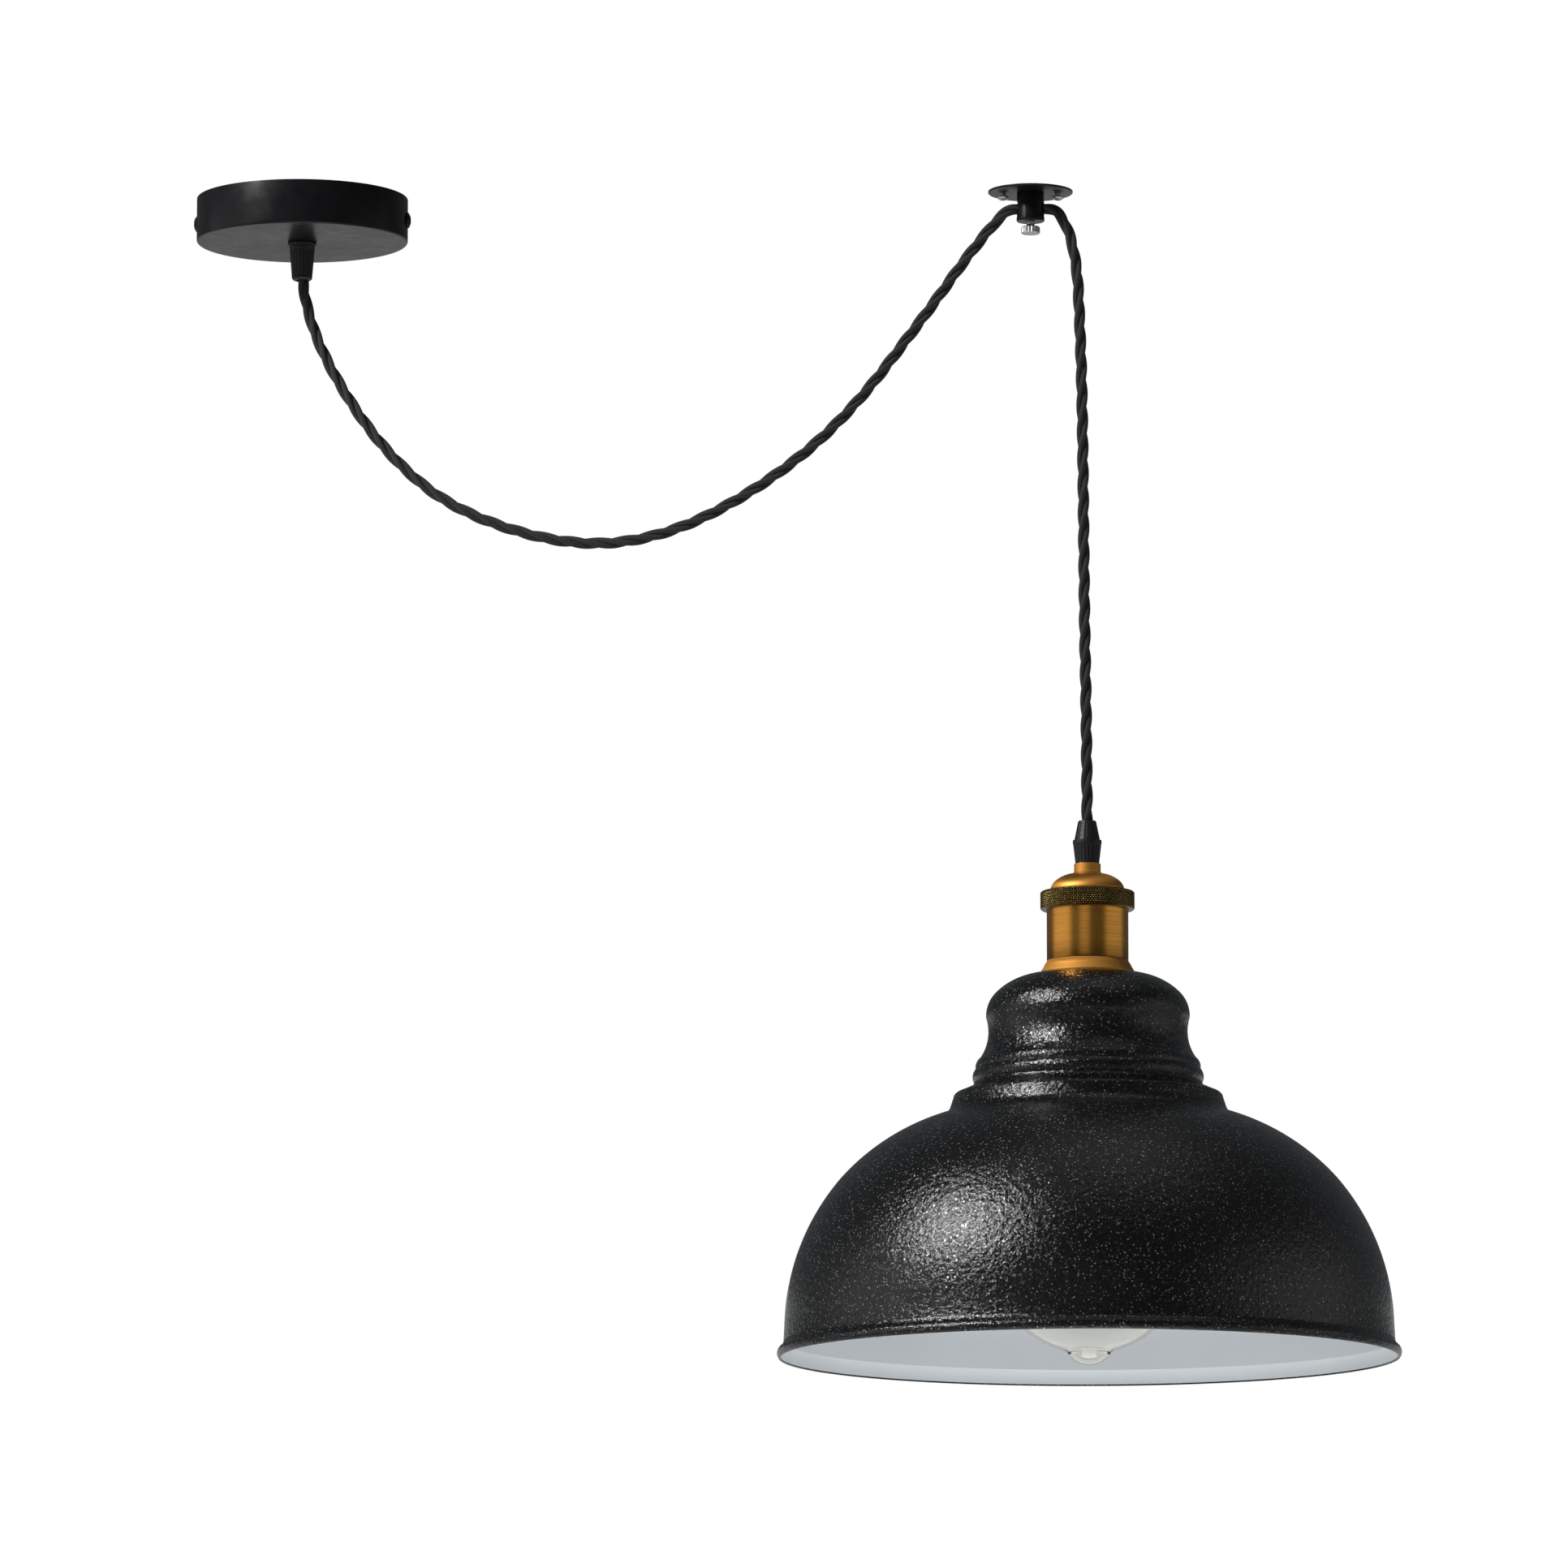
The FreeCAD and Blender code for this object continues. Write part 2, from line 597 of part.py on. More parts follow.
# -------------------------------------------------------------------------- lamp
def build_holder(spot):
    """Lamp holder from the cord grip down to the shade ring."""
    stem, gap = S.stem_radius, S.fit_gap
    keep(turned("holder_grip_cap", [
        (S.grip_spigot + gap, S.grip_lip_high),
        (S.grip_wide, S.grip_lip_high),
        (4.25, S.grip_top - 0.8),
        (3.55, S.grip_top),
        (S.grip_mouth, S.grip_top),
        (S.grip_mouth, S.grip_lip_high + 6.5),
        (S.grip_spigot + gap, S.grip_lip_high + 6.5),
    ], spot))
    keep(turned("holder_grip_base", [
        (S.stem_bore, S.cap_top - 6),
        (stem, S.cap_top - 6),
        (stem, S.bush_top),
        (5.55, S.bush_top),
        (6.65, S.grip_lip_low),
        (S.grip_collar, S.grip_lip_low),
        (S.grip_collar, S.grip_lip_high),
        (S.grip_spigot, S.grip_lip_high),
        (S.grip_spigot, S.grip_lip_high + 6),
        (S.stem_bore, S.grip_lip_high + 6),
    ], spot))
    keep(turned("holder_neck_bush", [
        (stem + gap, S.cap_top),
        (S.bush_radius + 0.3, S.cap_top),
        (S.bush_radius + 0.3, S.cap_top + 0.9),
        (S.bush_radius, S.cap_top + 1.2),
        (S.bush_radius, S.bush_top),
        (stem + gap, S.bush_top),
    ], spot))
    wall, outer, earth_y = S.holder_wall, S.holder_radius - 0.2, 11.4
    dome = turned("holder_cap_spinning", [
        (stem + gap, S.cap_top - wall),
        (stem + gap, S.cap_top),
        (8.4, S.cap_top, -14),
        (14.8, S.cap_top - 2.9, -7),
        (17.4, S.cap_top - 7.3),
        (17.4, S.knurl_high, -3),
        (outer, S.knurl_high - 1.9),
        (outer, S.holder_top),
        (outer - wall, S.holder_top),
        (outer - wall, S.knurl_high - 2.4),
        (17.4 - wall, S.knurl_high - 0.9),
        (17.4 - wall, S.cap_top - 7.3, 7 - wall),
        (14.06, S.cap_top - 3.85, 14 - wall),
        (8.2, S.cap_top - wall),
    ])
    boss = rod("holder_cap_earth_boss", 2.8, 6.4, (0, earth_y, S.cap_top - 9.3))
    thread = rod("holder_cap_earth_thread", 1.55, 3.2, (0, earth_y, S.cap_top - 9.8))
    solid_cap = union("holder_cap_with_boss", [dome, boss])
    keep(cut("holder_cap", solid_cap, [thread], spot))
    keep(lock_nut("holder_grip_nut", (S.lamp_x, S.lamp_y, S.cap_top - wall - 3.0 - S.shade_top)))
    keep(group("holder_earth_screw", [screw("holder_earth_screw_body", 2.5, 2.0, 1.5, 2.6,
                                            (0, earth_y, S.cap_top - 9.3), DOWNWARD)], spot))
    keep(turned("knurled_ring", [
        (outer + 0.1, S.knurl_low + 5.4),
        (S.holder_radius + 0.1, S.knurl_low + 5.4),
        (S.holder_radius + 0.1, S.knurl_low),
        (S.knurl_radius - 0.5, S.knurl_low),
        (S.knurl_radius, S.knurl_low + 0.5),
        (S.knurl_radius, S.knurl_high - 0.5),
        (S.knurl_radius - 0.5, S.knurl_high),
        (outer + 0.1, S.knurl_high),
    ], spot))
    keep(turned("holder_body", [
        (S.holder_radius - wall, S.skirt_height),
        (S.holder_radius, S.skirt_height),
        (S.holder_radius, S.holder_top - 0.3),
        (S.holder_radius - wall, S.holder_top - 0.3),
    ], spot))
    liner_wall = 1.3
    keep(turned("holder_skirt", [
        (S.liner_radius - liner_wall, -S.liner_length),
        (S.liner_radius, -S.liner_length),
        (S.liner_radius, 0),
        (S.skirt_radius, 0),
        (S.skirt_radius - 0.3, 1.2, 12),
        (S.holder_radius, S.skirt_height),
        (S.liner_radius - liner_wall, S.skirt_height),
    ], spot))
    keep(turned("shade_ring", [
        (S.liner_radius + gap, -S.shade_wall - 4.6),
        (S.liner_radius + 2.2, -S.shade_wall - 4.6),
        (S.liner_radius + 2.2, -S.shade_wall - 1.8),
        (21.9, -S.shade_wall - 1.8),
        (21.9, -S.shade_wall),
        (S.liner_radius + gap, -S.shade_wall),
    ], spot))


def build_socket(spot):
    """The socket inside the holder: insulator, threaded shell, contact and its screws."""
    floor = S.socket_high - 6.5
    insulator = turned("socket_insulator_moulding", [
        (14.6, -S.socket_low),
        (S.socket_radius, -S.socket_low),
        (S.socket_radius, S.socket_high),
        (0, S.socket_high),
        (0, floor),
        (14.6, floor),
    ])
    wells = [rod("socket_screw_hole", 1.55, 10, (side * 8.5, 4.0, floor - 1)) for side in (-1, 1)]
    wells += [rod("socket_wire_hole", 1.3, 10, (side * 8.5, -3.0, floor - 1)) for side in (-1, 1)]
    keep(cut("socket_insulator", insulator, wells, spot))
    keep(turned("socket_shell", [
        (S.shell_radius - 0.5, -S.socket_low),
        (S.shell_radius, -S.socket_low),
        (S.shell_radius, floor),
        (S.shell_radius - 6, floor),
        (S.shell_radius - 6, floor - 0.5),
        (S.shell_radius - 0.5, floor - 0.5),
    ], spot))
    keep(turned("centre_contact", [
        (0, S.bulb_contact_top + 0.1),
        (2.6, S.bulb_contact_top + 0.1),
        (5.0, floor - 0.5),
        (5.0, floor),
        (0, floor),
    ], spot))
    screws = [screw("socket_screw", 2.9, 1.9, 1.5, 5.5, (side * 8.5, 4.0, S.socket_high))
              for side in (-1, 1)]
    keep(group("socket_terminal_screws", screws, spot))


# Stations down the outside of the shade: radius, drop below its top, angle of the outward
# normal above the horizontal, and radius of the arc to the next station (negative where
# the wall bulges outwards, none where it is straight).
SHADE_STATIONS = [
    (22.0, 0.0, 90, -30.0), (43.2, 8.8, 45, -15.0), (47.6, 19.4, 0, -7.5), (47.3, 21.3, -15, 21.9),
    (50.6, 39.6, 42, -5.0), (52.6, 43.6, 0, None), (52.5, 44.6, 12, -5.5), (53.3, 51.0, 20, 3.0),
    (55.4, 53.4, 64, None), (60.6, 55.7, 60, -2.8), (63.0, 58.2, 17, None), (64.4, 62.4, 24, 5.5),
    (68.6, 66.3, 70, -104.0), (116.4, 97.1, 41, -108.0), (141.7, 160.5, 3, None),
    (142.3, 172.2, 10, 5.0), (143.6, 174.6, 22, -3.4),
]
RIM_DROP = 179.8


def build_shade(spot):
    """Spun steel bell shade with a waist, beads, a step and a rolled rim."""
    wall = S.shade_wall
    outside = [(S.shade_hole, 0)]
    inside = []
    arriving = None
    for radius, drop, lean, bend in SHADE_STATIONS:
        across, up = math.cos(math.radians(lean)), math.sin(math.radians(lean))
        outside.append((radius, -drop) if bend is None else (radius, -drop, bend))
        corner = (radius - wall * across, -drop - wall * up)
        inside.insert(0, corner if arriving is None else (*corner, -wall - arriving))
        arriving = bend
    edge = SHADE_STATIONS[-1][0]
    outside += [(edge, -RIM_DROP), (edge - wall, -RIM_DROP)]
    inside.append((S.shade_hole, -wall))
    keep(turned("shade", outside + inside, spot))


def build_bulb(spot):
    """Clear globe bulb: cap and contact, hollow glass, glass stem and filament."""
    cap_top, contact = S.bulb_cap_top, S.bulb_contact_top
    keep(turned("bulb_contact", [
        (0, cap_top + 0.05),
        (4.2, cap_top + 0.05),
        (2.4, contact - 0.4),
        (0, contact),
    ], spot))
    skin = 0.5
    keep(turned("bulb_cap", [
        (S.bulb_cap_radius - skin, -9.0),
        (S.bulb_cap_radius, -9.0),
        (S.bulb_cap_radius, 11.5),
        (9.0, cap_top - 1.0),
        (4.6, cap_top - 0.1),
        (0, cap_top - 0.1),
        (0, cap_top - 1.2),
        (8.4, cap_top - 2.0),
        (S.bulb_cap_radius - skin, 11.0),
    ], spot))
    glass, globe, low = S.glass_wall, S.bulb_radius, S.bulb_low
    neck, neck_top, flare, widest = 12.6, 4.0, -62.0, S.bulb_radius - S.bulb_low
    keep(turned("bulb_glass", [
        (neck - glass, neck_top),
        (neck, neck_top),
        (neck, -14.0, 150),
        (19.0, flare, 95),
        (globe * 0.84, widest + globe * 0.62, -globe),
        (globe, widest, -globe),
        (11.3, -low + 1.6, 2.2),
        (9.8, -low - 0.3, -11),
        (0, -low - 4.7),
        (0, -low - 4.7 + glass, 11 - glass),
        (8.7, -low + 0.3),
        (10.8, -low + 1.6 + glass, globe - glass),
        (globe - glass, widest, globe - glass),
        (globe * 0.84 - glass, widest + globe * 0.62, -(95 + glass.value)),
        (19.0 - glass, flare + 0.3, -(150 + glass.value)),
        (neck - glass, -14.0),
    ], spot))
    keep(turned("bulb_stem", [
        (0, -88.0),
        (2.2, -87.0),
        (2.2, -44.0, 30),
        (4.5, -24.0),
        (11.3, -2.0),
        (11.3, 0.0),
        (0, 0.0),
    ], spot))
    strands = []
    count, upper, lower = 8, -62.0 - S.shade_top.value, -122.0 - S.shade_top.value
    for index in range(count):
        strand = []
        for step, reach, height in ((0.1, 9.0, upper), (0.45, 12.0, lower),
                                    (0.75, 12.0, lower), (1.0, 9.0, upper)):
            angle = math.radians(360 / count * (index + step))
            strand.append((S.lamp_x.value + reach * math.cos(angle),
                           S.lamp_y.value + reach * math.sin(angle), height))
        strands.append(strand)
    keep(laid_cord("bulb_filament", strands, 0.5))


# ------------------------------------------------------------------------- model
def build_lamp():
    """Everything that hangs on the cord."""
    spot = (S.lamp_x, S.lamp_y, -S.shade_top)
    build_holder(spot)
    build_socket(spot)
    build_shade(spot)
    build_bulb(spot)


def check_model():
    """Stop if any object failed or any node isn't a sound solid."""
    for item in doc.Objects:
        if "Invalid" in item.State or "Error" in item.State:
            raise RuntimeError(f"{item.Label} failed: {item.State}")
    for node in nodes:
        if node.Shape.isNull() or not node.Shape.isValid() or node.Shape.Volume <= 0:
            raise RuntimeError(f"{node.Label} has no sound solid")


def write_steps():
    """Write one STEP file for each node."""
    os.makedirs("parts", exist_ok=True)
    for node in nodes:
        node.Shape.exportStep(f"parts/{node.Label}.step")


build_rose()
build_rose_grip()
build_clamp()
build_cord()
build_wires()
build_lamp()
doc.recompute()
check_model()
write_steps()
print(len(nodes), "nodes")
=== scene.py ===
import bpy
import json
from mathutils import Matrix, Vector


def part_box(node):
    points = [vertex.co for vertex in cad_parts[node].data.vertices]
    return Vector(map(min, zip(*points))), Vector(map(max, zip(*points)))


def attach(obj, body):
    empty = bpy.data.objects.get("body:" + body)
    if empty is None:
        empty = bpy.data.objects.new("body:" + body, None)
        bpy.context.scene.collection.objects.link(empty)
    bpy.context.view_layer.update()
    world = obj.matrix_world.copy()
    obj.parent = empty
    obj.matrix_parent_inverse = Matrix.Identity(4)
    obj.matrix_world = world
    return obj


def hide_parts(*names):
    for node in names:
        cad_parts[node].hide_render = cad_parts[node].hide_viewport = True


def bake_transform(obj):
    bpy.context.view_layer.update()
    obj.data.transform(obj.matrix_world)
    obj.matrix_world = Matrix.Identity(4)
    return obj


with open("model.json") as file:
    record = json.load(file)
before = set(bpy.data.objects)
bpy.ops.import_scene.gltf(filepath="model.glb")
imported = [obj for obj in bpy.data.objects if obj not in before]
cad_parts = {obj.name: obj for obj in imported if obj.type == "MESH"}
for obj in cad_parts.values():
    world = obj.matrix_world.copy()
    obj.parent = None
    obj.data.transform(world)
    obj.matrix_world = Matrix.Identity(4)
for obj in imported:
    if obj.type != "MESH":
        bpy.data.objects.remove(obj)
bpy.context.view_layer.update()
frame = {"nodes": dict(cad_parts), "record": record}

import json
import math

import bmesh
import bpy
import numpy as np
from mathutils import Vector

# The looks of a swag pendant light: satin black ceiling rose and clamp, twisted textile cord,
# brushed brass holder, flecked black bell shade with a white inside, and a clear globe bulb.

MM = 0.001
TURN = 2 * math.pi

# Thread pitches in millimetres.
E27_PITCH = 3.62
M4_PITCH = 0.7

# The knurled ring's diamonds: how many stand round it, and their width over their height.
KNURL_COUNT = 104
KNURL_SLANT = 0.75

# The rose's two side screws: the turn of their line from X, and their drop in millimetres.
SIDE_SCREW_TURN = math.radians(-5.6)
SIDE_SCREW_DROP = 11.0

# Sections: the least span in millimetres and the least turn that are rounded at a corner.
SAME_PLACE = 1e-6
SMOOTH_TURN = math.radians(22)

# Shading breaks at edges sharper than this, and at a finer angle on pieces with cut holes.
CREASE = math.radians(50)
CUT_CREASE = math.radians(35)


# ------------------------------------------------------------------ places from the frame
def middle(node):
    """Centre of a CAD node's box, in metres."""
    low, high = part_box(node)
    return [(a + b) / 2 for a, b in zip(low, high)]


def radius_of(node):
    """Half the width of a round CAD node, in millimetres."""
    low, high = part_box(node)
    return (high[0] - low[0]) / 2 / MM


def level(node, end, datum):
    """Height of a CAD node's top (1) or bottom (0) above a datum, in millimetres."""
    return (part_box(node)[end][2] - datum) / MM


CLAMP = (middle("hook_plate")[0], middle("hook_plate")[1], 0.0)
LAMP = (middle("holder_body")[0], middle("holder_body")[1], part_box("shade")[1][2])
ROSE = (0.0, 0.0, 0.0)


# --------------------------------------------------------------------------- camera
CAMERA_PLACE = Vector((0.2283, -5.149, -1.031))
CAMERA_AIM = Vector((0.2283, 0.0, -0.280))
LENS = 253.9


def make_camera():
    """A long lens a little below the lamp, looking slightly up."""
    camera = bpy.data.objects.new("camera", bpy.data.cameras.new("camera"))
    bpy.context.scene.collection.objects.link(camera)
    camera.location = CAMERA_PLACE
    camera.rotation_euler = (CAMERA_AIM - CAMERA_PLACE).to_track_quat("-Z", "Y").to_euler()
    camera.data.lens = LENS
    camera.data.sensor_width = 36
    camera.data.clip_end = 50
    bpy.context.scene.camera = camera


# ------------------------------------------------------------------------ materials
class Shader:
    """A material with its nodes, made in reading order."""

    def __init__(self, name, colour, rough, metal=0.0):
        self.material = bpy.data.materials.new(name)
        self.material.use_nodes = True
        self.tree = self.material.node_tree
        self.skin = self.tree.nodes["Principled BSDF"]
        self.skin.inputs["Base Color"].default_value = (*colour, 1)
        self.skin.inputs["Roughness"].default_value = rough
        self.skin.inputs["Metallic"].default_value = metal
        self.height = None

    def node(self, kind, settings=None, **links):
        """Add a node; links name its inputs, with an output or a plain value."""
        made = self.tree.nodes.new("ShaderNode" + kind)
        for name, value in (settings or {}).items():
            setattr(made, name, value)
        for name, value in links.items():
            self.feed(made, name, value)
        return made

    def feed(self, node, name, value):
        """Link or set one input, given by name or by number after an underscore."""
        key = int(name[1:]) if name.startswith("_") else name.replace("_", " ")
        if isinstance(value, bpy.types.NodeSocket):
            self.tree.links.new(value, node.inputs[key])
        else:
            node.inputs[key].default_value = value

    def place(self, source="Object", scale=(1, 1, 1)):
        """Coordinates of the piece, stretched."""
        coordinates = self.node("TexCoord").outputs[source]
        return self.node("Mapping", Vector=coordinates, Scale=scale).outputs["Vector"]

    def noise(self, size, detail=2.0, source="Object", stretch=(1, 1, 1), rough=0.5):
        """Noise whose grains are about size metres across."""
        scale = tuple(stretch[axis] / size for axis in range(3))
        made = self.node("TexNoise", Vector=self.place(source, scale), Scale=1.0, Detail=detail,
                         Roughness=rough)
        return made.outputs["Fac"]

    def cells(self, size, feature="F1"):
        """Voronoi distance with cells about size metres across."""
        made = self.node("TexVoronoi", {"feature": feature}, Vector=self.place(), Scale=1 / size)
        return made.outputs["Distance"]

    def ramp(self, value, low, high, to_low=0.0, to_high=1.0):
        """Remap a value from one range to another, clamped."""
        made = self.node("MapRange", Value=value, From_Min=low, From_Max=high, To_Min=to_low,
                         To_Max=to_high)
        return made.outputs["Result"]

    def maths(self, operation, first, second=0.0):
        """One sum."""
        return self.node("Math", {"operation": operation}, _0=first, _1=second).outputs["Value"]

    def mix(self, share, first, second):
        """Blend two colours."""
        made = self.node("Mix", {"data_type": "RGBA"}, Factor=share)
        self.feed(made, "_6", (*first, 1) if isinstance(first, tuple) else first)
        self.feed(made, "_7", (*second, 1) if isinstance(second, tuple) else second)
        return made.outputs[2]

    def colour(self, value):
        """Drive the base colour."""
        self.feed(self.skin, "Base Color", value)

    def rough(self, value):
        """Drive the roughness."""
        self.feed(self.skin, "Roughness", value)

    def bump(self, value, depth, strength=1.0):
        """Add a layer of relief, depth metres high."""
        made = self.node("Bump", Height=value, Strength=strength, Distance=depth)
        if self.height is not None:
            self.feed(made, "Normal", self.height)
        self.height = made.outputs["Normal"]
        self.feed(self.skin, "Normal", self.height)

    def set(self, **values):
        """Set plain values on the shader."""
        for name, value in values.items():
            self.feed(self.skin, name, value)
        return self


def satin_black():
    """Satin black paint: near black and smooth, a little uneven in its shine."""
    paint = Shader("satin_black", (0.007, 0.007, 0.008), 0.3)
    worn = paint.noise(0.012, 4.0)
    paint.colour(paint.mix(worn, (0.003, 0.003, 0.0035), (0.006, 0.006, 0.007)))
    paint.rough(paint.ramp(paint.noise(0.006, 3.0), 0.3, 0.7, 0.26, 0.34))
    paint.bump(paint.noise(0.006, 1.0), 0.00001, 0.2)
    return paint.set(Specular_IOR_Level=0.13).material


def flecked_black():
    """Wrinkled black enamel with small bright grains."""
    paint = Shader("flecked_black", (0.003, 0.003, 0.003), 0.2)
    grain = paint.noise(0.0012, 3.0, rough=0.65)
    fleck = paint.ramp(paint.cells(0.0015), 0.10, 0.32, 1.0, 0.0)
    shine = paint.maths("MULTIPLY", fleck, paint.ramp(grain, 0.48, 0.62))
    paint.colour(paint.mix(shine, (0.002, 0.002, 0.002), (0.46, 0.47, 0.48)))
    paint.feed(paint.skin, "Metallic", shine)
    paint.rough(paint.ramp(grain, 0.4, 0.6, 0.18, 0.10))
    paint.bump(paint.cells(0.0024, "SMOOTH_F1"), 0.00036, 0.9)
    paint.bump(grain, 0.00032, 1.0)
    return paint.set(Specular_IOR_Level=0.42).material


def white_enamel():
    """Smooth white enamel, a little uneven."""
    paint = Shader("white_enamel", (0.70, 0.73, 0.76), 0.3)
    cloud = paint.noise(0.05, 3.0)
    paint.colour(paint.mix(cloud, (0.66, 0.70, 0.73), (0.74, 0.765, 0.785)))
    paint.rough(paint.ramp(paint.noise(0.01), 0.3, 0.7, 0.28, 0.4))
    paint.bump(paint.noise(0.0035, 2.0), 0.00006, 0.4)
    return paint.set(Coat_Weight=0.3, Coat_Roughness=0.12).material


def brushed_brass(name, light, dark, rough, low=None, high=None):
    """Antique brass brushed round its axis, darker towards a lower edge."""
    metal = Shader(name, light, 0.3, 1.0)
    lines = metal.noise(0.0005, 4.0, "UV", (0.012, 1.0, 1.0), 0.7)
    broad = metal.noise(0.004, 3.0, "UV", (0.06, 1.0, 1.0))
    tone = metal.mix(metal.ramp(lines, 0.3, 0.7), dark, light)
    tone = metal.mix(metal.ramp(broad, 0.35, 0.7, 0.0, 0.35), tone, dark)
    if low is not None:
        height = metal.node("SeparateXYZ", Vector=metal.place()).outputs["Z"]
        shade = metal.ramp(height, low, high, 0.75, 0.0)
        tone = metal.mix(shade, tone, tuple(part * 0.22 for part in dark))
    metal.colour(tone)
    metal.rough(metal.ramp(lines, 0.3, 0.7, rough * 1.2, rough * 0.8))
    metal.bump(lines, 0.00003, 0.4)
    return metal.set(Anisotropic=0.5).material


def dark_bronze(pitch):
    """Dark bronze, with brass worn bright on the points of the diamonds."""
    metal = Shader("dark_bronze", (0.05, 0.035, 0.015), 0.32, 1.0)
    place = metal.node("SeparateXYZ", Vector=metal.place("UV"))
    across = metal.maths("MULTIPLY", place.outputs["X"], TURN / pitch)
    along = metal.maths("MULTIPLY", place.outputs["Y"], TURN / pitch * KNURL_SLANT)
    waves = [metal.node("Math", {"operation": "COSINE"}, _0=metal.maths(kind, across, along))
             for kind in ("ADD", "SUBTRACT")]
    points = metal.maths("ADD", waves[0].outputs["Value"], waves[1].outputs["Value"])
    worn = metal.ramp(metal.noise(0.002, 3.0), 0.3, 0.7, 0.5, 1.0)
    tone = metal.mix(metal.noise(0.003, 3.0), (0.030, 0.020, 0.007), (0.06, 0.042, 0.014))
    bright = metal.maths("MULTIPLY", metal.ramp(points, 0.9, 1.7), worn)
    metal.colour(metal.mix(bright, tone, (0.62, 0.42, 0.13)))
    metal.rough(metal.ramp(metal.noise(0.0012), 0.3, 0.7, 0.26, 0.4))
    return metal.material


def bright_steel(name="bright_steel", tone=(0.42, 0.42, 0.43), rough=0.38):
    """Bright zinc plate with faint turning marks."""
    metal = Shader(name, tone, rough, 1.0)
    marks = metal.noise(0.0012, 3.0)
    metal.colour(metal.mix(marks, tuple(part * 0.88 for part in tone), tone))
    metal.rough(metal.ramp(marks, 0.3, 0.7, rough * 0.8, rough * 1.4))
    metal.bump(marks, 0.00001, 0.3)
    return metal.material


def plain_brass():
    """Bright brass of contacts and small screws."""
    return bright_steel("plain_brass", (0.83, 0.62, 0.28), 0.22)


def black_nylon():
    """Moulded black nylon with a dull fine grain."""
    plastic = Shader("black_nylon", (0.008, 0.008, 0.009), 0.42)
    grain = plastic.noise(0.0006, 3.0)
    plastic.colour(plastic.mix(grain, (0.005, 0.005, 0.006), (0.013, 0.013, 0.014)))
    plastic.rough(plastic.ramp(plastic.noise(0.002), 0.3, 0.7, 0.34, 0.5))
    plastic.bump(grain, 0.00003, 0.5)
    return plastic.set(Specular_IOR_Level=0.25).material


def moulded(name, colour, rough):
    """Pale moulded plastic or glazed ceramic."""
    plastic = Shader(name, colour, rough)
    cloud = plastic.noise(0.003, 3.0)
    plastic.colour(plastic.mix(cloud, tuple(part * 0.9 for part in colour), colour))
    plastic.rough(plastic.ramp(cloud, 0.3, 0.7, rough * 0.8, rough * 1.25))
    plastic.bump(plastic.noise(0.0008), 0.00002, 0.4)
    return plastic.material


BRAID_PITCH = 0.0011


def braided_cloth():
    """Black braided textile: yarns crossing both ways round each strand, darker in the weave's low
    places as painted shade.
    """
    cloth = Shader("braided_cloth", (0.016, 0.016, 0.016), 0.75)
    around = cloth.node("SeparateXYZ", Vector=cloth.place("UV"))
    across, along = around.outputs["X"], around.outputs["Y"]
    waves = []
    for sense in (1.0, -1.0):
        slant = cloth.maths("MULTIPLY", across, sense)
        phase = cloth.maths("MULTIPLY", cloth.maths("ADD", along, slant), TURN / BRAID_PITCH)
        waves.append(cloth.maths("SINE", phase))
    weave = cloth.ramp(cloth.maths("MULTIPLY", waves[0], waves[1]), -1.0, 1.0)
    fuzz = cloth.noise(0.00025, 3.0, rough=0.7)
    # The weave's low places are coloured darker: painted shade between the yarns.
    tone = cloth.mix(weave, (0.004, 0.004, 0.004), (0.022, 0.022, 0.022))
    cloth.colour(cloth.mix(cloth.ramp(fuzz, 0.5, 0.75), tone, (0.042, 0.042, 0.042)))
    cloth.rough(cloth.ramp(fuzz, 0.3, 0.7, 0.6, 0.85))
    cloth.bump(weave, 0.00022, 0.8)
    cloth.bump(fuzz, 0.00008, 0.6)
    return cloth.set(Sheen_Weight=0.08, Sheen_Roughness=0.4, Specular_IOR_Level=0.25).material


def tinted_glass(name, tint):
    """Clear glass with a faint tint and slight waviness."""
    glass = Shader(name, tint, 0.0)
    paler = tuple(min(1.0, part * 1.03) for part in tint)
    glass.colour(glass.mix(glass.noise(0.03, 2.0), tint, paler))
    glass.bump(glass.noise(0.02, 1.0), 0.0001, 0.25)
    return glass.set(Transmission_Weight=1.0, IOR=1.47).material


def hot_wire():
    """Drawn tungsten filament and its supports."""
    return bright_steel("hot_wire", (0.52, 0.40, 0.26), 0.35)


def wire_cover():
    """Insulation of the three conductors, in three colours by place."""
    cover = Shader("wire_cover", (0.3, 0.12, 0.03), 0.4)
    patches = cover.noise(0.006, 0.0)
    tone = cover.mix(cover.ramp(patches, 0.45, 0.5), (0.06, 0.16, 0.5), (0.25, 0.10, 0.03))
    cover.colour(cover.mix(cover.ramp(patches, 0.6, 0.65), tone, (0.35, 0.5, 0.06)))
    cover.rough(cover.ramp(cover.noise(0.001), 0.3, 0.7, 0.32, 0.5))
    return cover.material


# --------------------------------------------------------------------------- meshes
def arc_between(start, end, radius, steps=10):
    """Points after start up to end on the shorter arc, anticlockwise for a positive radius."""
    start, end = np.array(start), np.array(end)
    chord = end - start
    length = float(np.hypot(*chord))
    left = np.array((-chord[1], chord[0])) / length
    reach = math.sqrt(max(radius * radius - length * length / 4, 0.0))
    centre = (start + end) / 2 + left * math.copysign(reach, radius)
    first = math.atan2(*(start - centre)[::-1])
    last = math.atan2(*(end - centre)[::-1])
    sweep = (last - first) % TURN if radius > 0 else -((first - last) % TURN)
    angles = first + sweep * np.linspace(0, 1, steps + 1)[1:]
    return [tuple(centre + abs(radius) * np.array((math.cos(a), math.sin(a)))) for a in angles]


